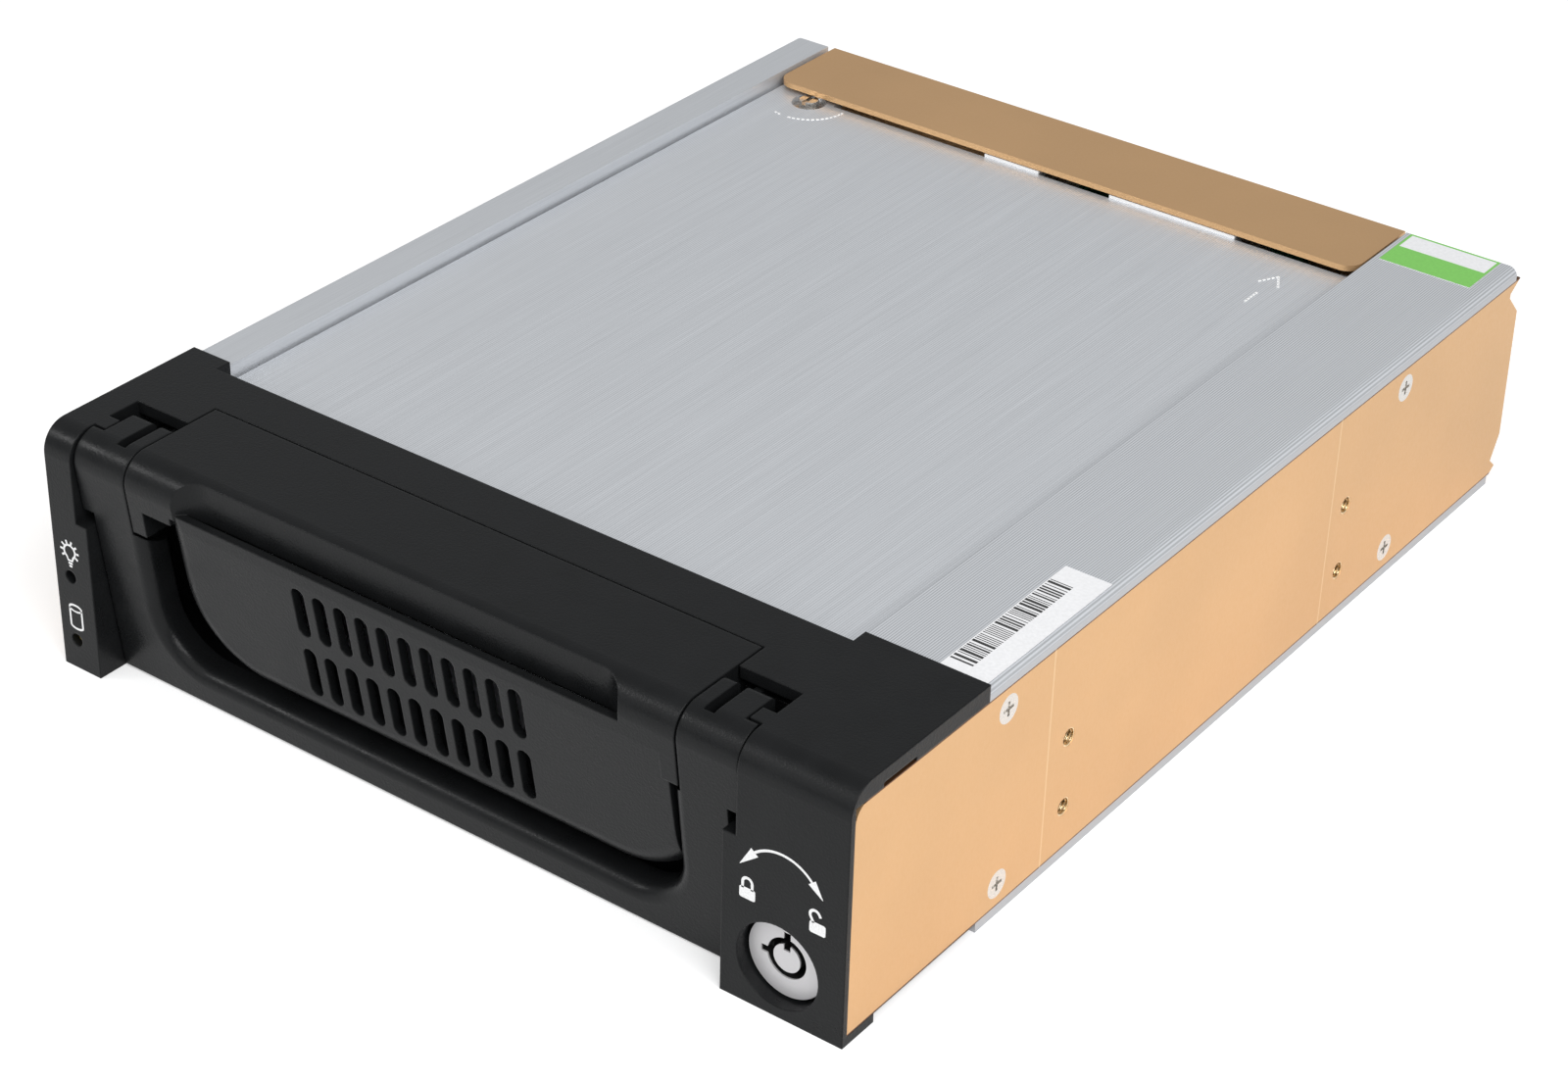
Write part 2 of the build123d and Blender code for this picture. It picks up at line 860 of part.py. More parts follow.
# Cam that enters the carrier wall when the key is turned
with BuildPart() as lock_cam:
    with BuildSketch(across(cam_front)):
        with Locations((lock_x, lock_z)):
            Circle(cam_r)
        with Locations((lock_x, lock_z + cam_reach - cam_r)):
            Circle(cam_r)
        panel(lock_x - cam_r, lock_x + cam_r, lock_z, lock_z + cam_reach - cam_r)
        with Locations((lock_x, lock_z)):
            Circle(lock_shaft_r, mode=Mode.SUBTRACT)
    extrude(amount=-cam_t)
lock_cam.part.label = "lock_cam"
export_step(lock_cam.part, "parts/lock_cam.step")

# Screw that holds the cam on its shaft
with BuildPart() as cam_screw:
    rod_y(lock_x, cam_front + cam_t, cam_front + cam_t + cam_screw_t, lock_z, cam_screw_r)
    block(
        lock_x - recess_len / 2,
        lock_x + recess_len / 2,
        cam_front + cam_t + cam_screw_t - recess_depth,
        cam_front + cam_t + cam_screw_t,
        lock_z - recess_w / 2,
        lock_z + recess_w / 2,
        mode=Mode.SUBTRACT,
    )
cam_screw.part.label = "cam_screw"
export_step(cam_screw.part, "parts/cam_screw.step")

# Space inside the vented pod, behind its front wall
with BuildPart() as pod_core:
    with BuildSketch(across(0)) as core_outline:
        panel(pod_lo + pod_wall, pod_hi - pod_wall, pod_low + pod_wall, pod_top)
        fillet(core_outline.vertices().group_by(Axis.Y)[0], pod_corner - pod_wall)
    extrude(amount=-tray_front)
    with BuildSketch(Plane.YZ.offset(pod_lo)):
        with BuildLine():
            Polyline(
                (front - brow_r, 0),
                (front + pod_base_y + pod_wall, 0),
                (front + pod_high_y + pod_wall, height),
                (front - brow_r, height),
                close=True,
            )
        make_face()
    extrude(amount=2 * bay_half, mode=Mode.SUBTRACT)

# Band of the hood over the pod, set back between the cheeks with round corners
with BuildPart() as hood_band:
    with BuildSketch(Plane.YZ.offset(bay_x - cheek_half)) as band_profile:
        with BuildLine():
            Polyline(
                (front + band_y + pod_wall, band_low),
                (front + face_base_y - lean * band_low, band_low),
                (front + face_high_y, height),
                (front + hood_depth, height),
                (front + hood_depth, height - hood_t),
                (front + band_y + pod_wall, height - hood_t),
                close=True,
            )
        make_face()
        fillet(band_profile.vertices().group_by(Axis.Y)[-1].sort_by(Axis.X)[0], brow_r)
    extrude(amount=2 * cheek_half)
    with BuildSketch(Plane.XY.offset(band_low)) as band_pocket:
        panel(bay_x - cheek_half, bay_x + cheek_half, front - brow_r, front + band_y)
        fillet(band_pocket.vertices().group_by(Axis.Y)[-1], band_corner)
    extrude(amount=band_h, mode=Mode.SUBTRACT)

# Carrier front, a hood over a vented pod on a base wall with a floor and two handle lugs
with BuildPart() as carrier_front:
    with BuildSketch(across(0)) as pod_outline:
        panel(pod_lo, pod_hi + pod_round, pod_low, pod_top)
        fillet(pod_outline.vertices().group_by(Axis.Y)[0], pod_corner)
    extrude(amount=-base_front)
    with BuildSketch(Plane.YZ.offset(bay_lo)):
        with BuildLine():
            Polyline(
                (front - brow_r, 0),
                (front + pod_base_y, 0),
                (front + pod_high_y, height),
                (front - brow_r, height),
                close=True,
            )
        make_face()
    extrude(amount=2 * bay_half, mode=Mode.SUBTRACT)
    pod_face = carrier_front.faces().sort_by(Axis.Y)[0]
    rim = pod_face.edges().sort_by(Axis.Z)[:-1]
    fillet(rim, pod_round)
    block(pod_hi, pod_hi + pod_round, 0, base_front, pod_low, pod_top, mode=Mode.SUBTRACT)
    with BuildSketch(Plane.YZ.offset(bay_lo)):
        with BuildLine():
            Polyline(
                (front - brow_r, cheek_low),
                (front + cheek_face_y, cheek_low),
                (front + face_high_y, height),
                (front - brow_r, height),
                close=True,
            )
        make_face()
    extrude(amount=2 * bay_half, mode=Mode.SUBTRACT)
    block(bay_x - tray_half, bay_x + tray_half, base_front, tray_front, tray_floor, tray_top)
    add(pod_core.part, mode=Mode.SUBTRACT)
    block(bay_x - tray_half, bay_x + tray_half, chin_y, base_front, tray_floor, tray_floor + base_t)
    with BuildSketch(across(0)):
        for z in slot_z:
            with Locations((bay_x + slot_shift, z)):
                with GridLocations(slot_pitch, slot_len, slot_count, 1):
                    SlotOverall(slot_len, slot_w, rotation=90)
    extrude(amount=-(base_front - base_t), mode=Mode.SUBTRACT)
    add(hood_band.part)
    for s in (-1, 1):
        for inner, outer, low in (
            (cheek_half, cheek_outer, cheek_low),
            (cheek_outer, hood_half, cheek_outer_low),
        ):
            with BuildSketch(Plane.YZ.offset(bay_x + s * inner)) as cheek:
                with BuildLine():
                    Polyline(
                        (front + tray_front, low),
                        (front + face_base_y - lean * low, low),
                        (front + face_high_y, height),
                        (front + tray_front, height),
                        close=True,
                    )
                make_face()
                fillet(cheek.vertices().group_by(Axis.Y)[-1].sort_by(Axis.X)[0], brow_r)
            extrude(amount=s * (outer - inner))
        block(
            bay_x + s * (lug_half - lug_t / 2),
            bay_x + s * (lug_half + lug_t / 2),
            pivot_y,
            tray_front,
            pivot_z - lug_r,
            pivot_z + lug_r,
        )
        rod_x(
            bay_x + s * (lug_half - lug_t / 2),
            bay_x + s * (lug_half + lug_t / 2),
            pivot_y,
            pivot_z,
            lug_r,
        )
    block(bay_x - hood_half, bay_x + hood_half, base_front, hood_depth, height - hood_t, height)
    for s in (-1, 1):
        for z in tray_screw_z:
            block(
                bay_x + s * (tray_half - tray_t - tray_boss),
                bay_x + s * (tray_half - tray_t),
                tray_front,
                tray_front + tray_boss_len,
                z - tray_boss / 2,
                z + tray_boss / 2,
            )
            rod_x(
                bay_x + s * (tray_half - tray_t - tray_screw_len),
                bay_x + s * (tray_half - tray_t),
                tray_screw_y,
                z,
                tray_screw_r,
                mode=Mode.SUBTRACT,
            )
        rod_x(
            bay_x + s * (lug_half - lug_t / 2),
            bay_x + s * (lug_half + lug_t / 2),
            pivot_y,
            pivot_z,
            pin_r,
            mode=Mode.SUBTRACT,
        )
carrier_front.part.label = "carrier_front"
export_step(carrier_front.part, "parts/carrier_front.step")

# Pivot pins fixed in the lugs
with BuildPart() as handle_pins:
    for s in (-1, 1):
        rod_x(bay_x + s * pin_in, bay_x + s * pin_out, pivot_y, pivot_z, pin_r)
handle_pins.part.label = "handle_pins"
export_step(handle_pins.part, "parts/handle_pins.step")

# Bail handle with forked ends, latch wings and a finger gap above its bar
with BuildPart() as handle:
    with BuildSketch(across(0)) as bail_outline:
        panel(bay_x - arm_out, bay_x + arm_out, face_low_z, height)
        with BuildSketch(mode=Mode.SUBTRACT) as grip:
            panel(bay_x - arm_in_low, bay_x + arm_in_low, bar_top, height)
            fillet(grip.vertices().group_by(Axis.Y)[0], grip_corner)
        for s in (-1, 1):
            panel(bay_x + s * arm_out, bay_x + s * wing_half, wing_low, height)
    extrude(amount=-arm_rear)
    for s in (-1, 1):
        rod_x(bay_x + s * arm_out, bay_x + s * wing_half, pivot_y, pivot_z, wing_r, mode=Mode.SUBTRACT)
        block(
            bay_x + s * arm_out,
            bay_x + s * wing_half,
            pivot_y - lug_r,
            arm_rear,
            wing_low,
            height,
            mode=Mode.SUBTRACT,
        )
    with BuildSketch(Plane.YZ.offset(bay_x - notch_half)) as bail_side:
        with BuildLine():
            Polyline(
                (front + face_low_y, face_low_z),
                (front + face_high_y, height),
                (front + arm_rear, height),
                (front + arm_rear, fork_floor),
                (front + arm_neck_y, arm_neck_z),
                (front + face_low_y + arm_t, face_low_z),
                close=True,
            )
        make_face()
        fillet(bail_side.vertices().group_by(Axis.Y)[-1].sort_by(Axis.X)[0], brow_r)
        fillet(bail_side.vertices().group_by(Axis.Y)[-1].sort_by(Axis.X)[-1], arm_rear_round)
    extrude(amount=2 * notch_half, mode=Mode.INTERSECT)
    bail_face = handle.faces().sort_by(lambda face: face.area)[-1]
    grip_rim = [edge for edge in bail_face.edges() if edge_in_grip(edge)]
    fillet(grip_rim, grip_round)
    rod_x(
        bay_x - arm_in_high,
        bay_x + arm_in_high,
        pivot_y,
        pivot_z,
        cheek_swing_r + seam_gap,
        mode=Mode.SUBTRACT,
    )
    block(
        bay_x - arm_in_high,
        bay_x + arm_in_high,
        0,
        arm_rear,
        cheek_outer_low,
        height,
        mode=Mode.SUBTRACT,
    )
    for s in (-1, 1):
        rod_x(bay_x + s * arm_out, bay_x + s * wing_half, pivot_y, pivot_z, lug_r)
        block(
            bay_x + s * (lug_half - lug_t / 2 - fork_gap),
            bay_x + s * (lug_half + lug_t / 2 + fork_gap),
            fork_front,
            arm_rear,
            fork_floor,
            height,
            mode=Mode.SUBTRACT,
        )
        rod_x(
            bay_x + s * arm_in_high,
            bay_x + s * (pin_out + fork_gap),
            pivot_y,
            pivot_z,
            pin_r + pivot_gap,
            mode=Mode.SUBTRACT,
        )
handle.part.label = "handle"
export_step(handle.part, "parts/handle.step")

# Carrier tray, a folded sheet with inward top flanges that guide the lid
with BuildPart() as carrier_tray:
    with BuildSketch(across(tray_front)) as tray_profile:
        panel(bay_x - tray_half, bay_x + tray_half, tray_floor, tray_top)
        panel(
            bay_x - tray_half + tray_t,
            bay_x + tray_half - tray_t,
            tray_floor + tray_t,
            tray_top,
            mode=Mode.SUBTRACT,
        )
        for s in (-1, 1):
            panel(bay_x + s * (tray_half - tray_flange), bay_x + s * tray_half, tray_top - tray_t, tray_top)
    extrude(amount=-(tray_rear - tray_front))
    block(
        bay_x - tray_half + tray_t,
        bay_x + tray_half - tray_t,
        tray_rear - tray_t,
        tray_rear,
        tray_floor,
        tray_back_top,
    )
    for x, w in zip(plug_x, plug_w):
        block(
            x - w / 2 - socket_gap,
            x + w / 2 + socket_gap,
            tray_rear - tray_t,
            tray_rear,
            plug_z - plug_h / 2 - socket_gap,
            tray_back_top,
            mode=Mode.SUBTRACT,
        )
    with Locations((bay_x, front + tray_rear - drive_hole_back, tray_floor + tray_t / 2)):
        with GridLocations(drive_pitch_x, drive_pitch_y, 2, 2):
            Cylinder(drive_hole_r, tray_t, mode=Mode.SUBTRACT)
    for s in (-1, 1):
        for z in tray_screw_z:
            with Locations(
                Location((bay_x + s * (tray_half - tray_t / 2), front + tray_screw_y, z), (0, s * 90, 0))
            ):
                Cone(tray_screw_r, tray_screw_head_r, tray_t, mode=Mode.SUBTRACT)
    block(
        bay_x + tray_half - tray_t,
        bay_x + tray_half,
        cam_window_front,
        cam_window_rear,
        cam_window_low,
        cam_window_high,
        mode=Mode.SUBTRACT,
    )
    block(
        bay_x - tray_half,
        bay_x - tray_half + tray_t,
        latch_y - latch_reach,
        latch_y + latch_arm_r + latch_room_gap,
        latch_low - latch_room_gap,
        latch_low + latch_arm_t + latch_room_gap,
        mode=Mode.SUBTRACT,
    )
carrier_tray.part.label = "carrier_tray"
export_step(carrier_tray.part, "parts/carrier_tray.step")

# Countersunk screws that hold the tray to the carrier front
with BuildPart() as tray_screws:
    for s in (-1, 1):
        for z in tray_screw_z:
            with Locations(
                Location((bay_x + s * (tray_half - tray_t / 2), front + tray_screw_y, z), (0, s * 90, 0))
            ):
                Cone(tray_screw_r, tray_screw_head_r, tray_t)
            rod_x(
                bay_x + s * (tray_half - tray_t - tray_screw_len),
                bay_x + s * (tray_half - tray_t),
                tray_screw_y,
                z,
                tray_screw_r,
            )
tray_screws.part.label = "tray_screws"
export_step(tray_screws.part, "parts/tray_screws.step")

# Carrier board inside the back of the tray
with BuildPart() as carrier_board:
    block(
        bay_x - carrier_board_left,
        bay_x + carrier_board_right,
        tray_rear - tray_t - board_t,
        tray_rear - tray_t,
        carrier_board_low,
        height - carrier_board_drop,
    )
carrier_board.part.label = "carrier_board"
export_step(carrier_board.part, "parts/carrier_board.step")

# Socket that the drive plugs into
with BuildPart() as drive_socket:
    socket_rear = tray_rear - tray_t - board_t
    block(
        bay_x - drive_socket_w / 2,
        bay_x + drive_socket_w / 2,
        socket_rear - drive_socket_d,
        socket_rear,
        drive_socket_z - drive_socket_h / 2,
        drive_socket_z + drive_socket_h / 2,
    )
    block(
        bay_x - drive_slot_w / 2,
        bay_x + drive_slot_w / 2,
        socket_rear - drive_socket_d,
        socket_rear - drive_socket_d + drive_slot_d,
        drive_socket_z - drive_slot_h / 2,
        drive_socket_z + drive_slot_h / 2,
        mode=Mode.SUBTRACT,
    )
drive_socket.part.label = "drive_socket"
export_step(drive_socket.part, "parts/drive_socket.step")

# Docking plugs that reach back into the backplane sockets
with BuildPart() as docking_plugs:
    for x, w in zip(plug_x, plug_w):
        block(x - w / 2, x + w / 2, tray_rear - tray_t, plug_rear, plug_z - plug_h / 2, plug_z + plug_h / 2)
docking_plugs.part.label = "docking_plugs"
export_step(docking_plugs.part, "parts/docking_plugs.step")

# Sliding lid with hooks that run under the tray flanges and two ribbed tabs on its rear edge
with BuildPart() as lid:
    block(bay_x - lid_half, bay_x + lid_half, lid_front, lid_rear, lid_low, lid_top)
    hook_half = tray_half - tray_flange - lid_gap
    hook_top = tray_top - tray_t - lid_gap
    for s in (-1, 1):
        block(
            bay_x + s * (hook_half - hook_wall),
            bay_x + s * hook_half,
            hook_front,
            hook_rear,
            hook_top - hook_t,
            lid_low,
        )
        block(
            bay_x + s * (hook_half - hook_wall),
            bay_x + s * (hook_half + hook_foot),
            hook_front,
            hook_rear,
            hook_top - hook_t,
            hook_top,
        )
    block(
        latch_x + latch_land,
        bay_x + lid_half,
        lid_rear - rib_len,
        lid_rear,
        lid_low,
        lid_top,
        mode=Mode.SUBTRACT,
    )
    for shift, w in zip(rib_shift, rib_w):
        block(
            bay_x + shift - w / 2,
            bay_x + shift + w / 2,
            lid_rear - rib_len,
            lid_rear,
            lid_low,
            flange_low - lid_gap,
        )
    rod_z(latch_x, latch_y, lid_low, lid_top, latch_r + turn_gap, mode=Mode.SUBTRACT)
lid.part.label = "lid"
export_step(lid.part, "parts/lid.step")

# Turning latch sunk in the lid, with a slotted post and a locking arm
with BuildPart() as lid_latch:
    rod_z(latch_x, latch_y, latch_low, lid_top - latch_sink, latch_r)
    rod_z(latch_x, latch_y, lid_top - latch_sink, flange_low - lid_gap, latch_post_r)
    block(
        latch_x - latch_arm_r,
        latch_x + latch_arm_r,
        latch_y - latch_reach,
        latch_y,
        latch_low,
        latch_low + latch_arm_t,
    )
    rod_z(latch_x, latch_y - latch_reach, latch_low, latch_low + latch_arm_t, latch_arm_r)
    block(
        latch_x - latch_slot_w / 2,
        latch_x + latch_slot_w / 2,
        latch_y - latch_post_r,
        latch_y + latch_post_r,
        flange_low - lid_gap - latch_slot_d,
        flange_low - lid_gap,
        mode=Mode.SUBTRACT,
    )
lid_latch.part.label = "lid_latch"
export_step(lid_latch.part, "parts/lid_latch.step")
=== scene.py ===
# %% [markdown]
# A drive cage in Blender: a lesson in cells.
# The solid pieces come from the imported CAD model, which is loaded as a fixed frame in metres.
# Nothing here moves or resizes them. This file gives each piece its finish, adds the thin things
# that a CAD model leaves out, such as ink, paper and stamped marks, and sets the light and camera.

# %% Load the frame
import math

import bpy
import numpy as np
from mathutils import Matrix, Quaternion, Vector


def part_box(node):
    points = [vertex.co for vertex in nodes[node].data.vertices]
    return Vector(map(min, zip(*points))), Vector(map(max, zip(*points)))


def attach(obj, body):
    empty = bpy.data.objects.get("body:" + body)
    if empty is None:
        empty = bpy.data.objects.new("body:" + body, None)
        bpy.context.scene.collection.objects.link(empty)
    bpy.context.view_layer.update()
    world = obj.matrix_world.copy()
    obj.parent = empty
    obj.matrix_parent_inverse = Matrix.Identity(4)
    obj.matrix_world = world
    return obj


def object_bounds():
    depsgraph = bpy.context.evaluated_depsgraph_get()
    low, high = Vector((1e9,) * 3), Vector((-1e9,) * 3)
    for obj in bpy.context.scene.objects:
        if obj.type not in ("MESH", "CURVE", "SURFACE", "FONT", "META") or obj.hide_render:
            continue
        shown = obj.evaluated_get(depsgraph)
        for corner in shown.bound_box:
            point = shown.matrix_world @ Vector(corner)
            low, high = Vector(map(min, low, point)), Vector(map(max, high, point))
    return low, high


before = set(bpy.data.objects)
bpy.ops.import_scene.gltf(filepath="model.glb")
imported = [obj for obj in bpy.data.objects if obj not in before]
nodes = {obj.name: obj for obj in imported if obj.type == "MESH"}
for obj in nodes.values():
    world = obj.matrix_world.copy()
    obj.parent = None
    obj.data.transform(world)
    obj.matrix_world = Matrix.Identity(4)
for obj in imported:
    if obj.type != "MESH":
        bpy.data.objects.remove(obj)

cad_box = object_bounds()
mm = 0.001
print("box in millimetres", [[round(v / mm, 2) for v in corner] for corner in cad_box])

# %% [markdown]
# The camera stands in front of the cage, to its right and above it, with a long lens.
# A camera can be aimed with a constraint, but here a look direction and a small roll say the
# same thing in two lines, and the result is easy to check against the photograph.

# %% Camera
camera_place = Vector((267.6, -379.4, 293.5)) * mm
camera_look = Vector((-0.49713, 0.68804, -0.52865))
camera_roll = math.radians(1.56)
camera_data = bpy.data.cameras.new("camera")
camera_data.sensor_fit = "HORIZONTAL"
camera_data.sensor_width = 36.0
camera_data.lens = 78.41
camera = bpy.data.objects.new("camera", camera_data)
bpy.context.scene.collection.objects.link(camera)
camera.location = camera_place
camera.rotation_mode = "QUATERNION"
camera.rotation_quaternion = camera_look.to_track_quat("-Z", "Y") @ Quaternion((0, 0, 1), camera_roll)
bpy.context.scene.camera = camera
print("camera is", round(camera_place.length, 3), "m from the object's base")

# %% [markdown]
# Every surface here is a node material. A few small helpers keep each finish short to read:
# one starts a material, one adds a node with its settings, and one ties two sockets together.

# %% Material helpers
def new_finish(name, colour, metallic=0.0, roughness=0.5):
    """A material with one Principled shader, its constant values set on the shader's own sockets."""
    material = bpy.data.materials.new(name)
    material.use_nodes = True
    tree = material.node_tree
    shader = tree.nodes["Principled BSDF"]
    shader.inputs["Base Color"].default_value = (*colour, 1.0)
    shader.inputs["Metallic"].default_value = metallic
    shader.inputs["Roughness"].default_value = roughness
    return material, tree, shader


def add(tree, kind, inputs=None, **settings):
    """A node of that kind with its properties and its unlinked inputs set."""
    node = tree.nodes.new(kind)
    for key, value in settings.items():
        setattr(node, key, value)
    for key, value in (inputs or {}).items():
        node.inputs[key].default_value = value
    return node


def tie(tree, source, target):
    """A link from an output socket to an input socket."""
    tree.links.new(source, target)


def stretched(tree, scale):
    """Object coordinates in metres times a scale along each axis."""
    place = add(tree, "ShaderNodeTexCoord")
    mapping = add(tree, "ShaderNodeMapping", {"Scale": scale})
    tie(tree, place.outputs["Object"], mapping.inputs["Vector"])
    return mapping.outputs["Vector"]


def ramp(tree, source, low, high):
    """A colour ramp from low to high, each a pair of a position and a grey or a colour."""
    node = add(tree, "ShaderNodeValToRGB")
    for element, (position, tone) in zip(node.color_ramp.elements, (low, high)):
        element.position = position
        element.color = (tone, tone, tone, 1.0) if isinstance(tone, float) else (*tone, 1.0)
    tie(tree, source, node.inputs["Fac"])
    return node.outputs["Color"]


def toned(colour, factor):
    """A colour made darker or lighter by a factor."""
    return tuple(factor * c for c in colour)


def beyond(tree, axis, level, test):
    """One where the coordinate along an axis passes the test against a level, and zero elsewhere."""
    split = add(tree, "ShaderNodeSeparateXYZ")
    tie(tree, stretched(tree, (1.0, 1.0, 1.0)), split.inputs["Vector"])
    compare = add(tree, "ShaderNodeMath", {1: level}, operation=test)
    tie(tree, split.outputs[axis], compare.inputs[0])
    return compare.outputs[0]


def blended(tree, factor, source, colour):
    """A colour socket mixed towards a fixed colour by a factor socket."""
    mix = add(tree, "ShaderNodeMix", data_type="RGBA")
    mix.inputs[7].default_value = (*colour, 1.0)
    tie(tree, factor, mix.inputs[0])
    tie(tree, source, mix.inputs[6])
    return mix.outputs[2]


def paint(finish, *names):
    """Gives a finish to CAD nodes by name."""
    for name in names:
        mesh = nodes[name].data
        mesh.materials.clear()
        mesh.materials.append(finish)
    print(finish.name, "on", ", ".join(names))


# %% [markdown]
# The bezel, the hood and the handle are one black plastic with a spark-eroded grain.
# The grain is under half a millimetre across, so it shows as a sparkle on the rounded edges.
# A noise texture bends the normal for the grain, and a second, coarser one varies the gloss.
# Moulded edges are never razor sharp, so a Bevel node rounds the shading along them.

# %% Black moulded plastic
grain_size = 0.42 * mm
grain_height = 0.05 * mm
grain_strength = 0.7
patch_size = 12 * grain_size
edge_round = 0.35 * mm
plastic_specular = 0.17


def moulded_black(name, colour, roughness):
    """Grain: bump from noise at the grain's size. Gloss: roughness from noise twelve grains wide."""
    finish, tree, shader = new_finish(name, colour, 0.0, roughness)
    shader.inputs["Specular IOR Level"].default_value = plastic_specular
    grain = add(tree, "ShaderNodeTexNoise", {"Scale": 1.0, "Detail": 2.0, "Roughness": 0.6})
    tie(tree, stretched(tree, (1 / grain_size,) * 3), grain.inputs["Vector"])
    edge = add(tree, "ShaderNodeBevel", {"Radius": edge_round}, samples=6)
    bump = add(tree, "ShaderNodeBump", {"Strength": grain_strength, "Distance": grain_height})
    tie(tree, grain.outputs["Fac"], bump.inputs["Height"])
    tie(tree, edge.outputs["Normal"], bump.inputs["Normal"])
    tie(tree, bump.outputs["Normal"], shader.inputs["Normal"])
    patch = add(tree, "ShaderNodeTexNoise", {"Scale": 1.0, "Detail": 3.0})
    tie(tree, stretched(tree, (1 / patch_size,) * 3), patch.inputs["Vector"])
    gloss = ramp(tree, patch.outputs["Fac"], (0.3, roughness - 0.06), (0.7, roughness + 0.06))
    tie(tree, gloss, shader.inputs["Roughness"])
    tone = ramp(tree, patch.outputs["Fac"], (0.3, toned(colour, 0.9)), (0.7, toned(colour, 1.1)))
    tie(tree, tone, shader.inputs["Base Color"])
    return finish


black_plastic = moulded_black("black_plastic", (0.0085, 0.009, 0.0095), 0.31)
paint(black_plastic, "front_bezel", "carrier_front", "handle")

# %% [markdown]
# The rails, the lid and the tray are satin aluminium. The lid and the right rail carry fine
# grooves from front to back, five to two millimetres, left by the extrusion die.
# A sine of the X coordinate gives the grooves, and noise stretched along Y gives the brushing.

# %% Grooved aluminium
groove_pitch = 0.4 * mm
brush_width = 0.2 * mm
brush_length = 25 * mm
# Two painted light tones: a near-white painted highlight and a darker painted shade.
painted_highlight_tone = (0.86, 0.86, 0.86)
painted_shade_tone = (0.50, 0.51, 0.53)


def grooved_aluminium(name, colour, roughness, groove, highlight_above=None, shade_below=None):
    """Height: groove times a sine of X over the pitch, plus brushing noise stretched along Y.

    Metal higher than the highlight level is painted nearly white and not metallic, a painted highlight, and
    metal under the shade level is painted darker, a painted shade.
    """
    finish, tree, shader = new_finish(name, colour, 0.6, roughness)
    ripple = {"Scale": 1.0, "Distortion": 0.4, "Detail": 1.0, "Detail Scale": 0.3}
    wave = add(tree, "ShaderNodeTexWave", ripple)
    # A wave texture has a period of 2 pi over 20 in its own units.
    tie(tree, stretched(tree, (math.pi / 10 / groove_pitch, 4.0, 0.0)), wave.inputs["Vector"])
    brush = add(tree, "ShaderNodeTexNoise", {"Scale": 1.0, "Detail": 4.0, "Roughness": 0.65})
    streaks = stretched(tree, (1 / brush_width, 1 / brush_length, 1 / brush_width))
    tie(tree, streaks, brush.inputs["Vector"])
    blend = add(tree, "ShaderNodeMix", {"Factor": groove}, data_type="FLOAT")
    tie(tree, brush.outputs["Fac"], blend.inputs[2])
    tie(tree, wave.outputs["Fac"], blend.inputs[3])
    bump = add(tree, "ShaderNodeBump", {"Strength": 0.25, "Distance": 0.04 * mm})
    tie(tree, blend.outputs[0], bump.inputs["Height"])
    tie(tree, bump.outputs["Normal"], shader.inputs["Normal"])
    deep = 0.14 + 0.2 * groove
    low = (0.1, toned(colour, 1 - deep))
    high = (0.9, toned(colour, 1 + 0.8 * deep))
    tone = ramp(tree, blend.outputs[0], low, high)
    # Painted light: a highlight above one level and a shade below another.
    for level, test, painted_light_tone in ((highlight_above, "GREATER_THAN", painted_highlight_tone), (shade_below, "LESS_THAN", painted_shade_tone)):
        if level:
            painted_region = beyond(tree, "Z", level, test)
            tone = blended(tree, painted_region, tone, painted_light_tone)
            if test == "GREATER_THAN":
                tie(tree, ramp(tree, painted_region, (0.0, 0.6), (1.0, 0.0)), shader.inputs["Metallic"])
    tie(tree, tone, shader.inputs["Base Color"])
    worn = ramp(tree, brush.outputs["Fac"], (0.3, roughness - 0.05), (0.7, roughness + 0.07))
    tie(tree, worn, shader.inputs["Roughness"])
    return finish


aluminium = (0.735, 0.755, 0.785)
lid_aluminium = toned(aluminium, 0.98)
rail_aluminium = toned(aluminium, 0.93)
rib_start = 38.55 * mm
rail_edge = 39.7 * mm
# The lid's ribs under the rear flange get a painted highlight, a near-white colour.
paint(grooved_aluminium("brushed_aluminium", lid_aluminium, 0.42, 0.45, highlight_above=rib_start), "lid")
# The right rail's outer side, below its top edge, gets a painted shade.
paint(grooved_aluminium("ribbed_aluminium", rail_aluminium, 0.42, 0.75, shade_below=rail_edge), "right_rail")
paint(grooved_aluminium("satin_aluminium", rail_aluminium, 0.4, 0.08), "left_rail", "carrier_tray")

# %% [markdown]
# The side plates and the rear panel are steel with a yellow passivated film.
# The film is thin, so its colour drifts a little over the sheet, and the rolled steel shows a
# fine grain. Two score lines cross each side plate, and its long edges carry a thin painted shade where they
# meet the rails.

# %% Yellow passivated sheet
score_places = (-46.7 * mm, 33.0 * mm)
score_width = 0.35 * mm
score_strength = 0.35
score_tone = (0.95, 0.78, 0.50)
film_size = 40 * mm
roll_width = 0.35 * mm
roll_length = 0.7 * mm
seam_width = 0.22 * mm
seam_shade_tone = (0.16, 0.07, 0.03)


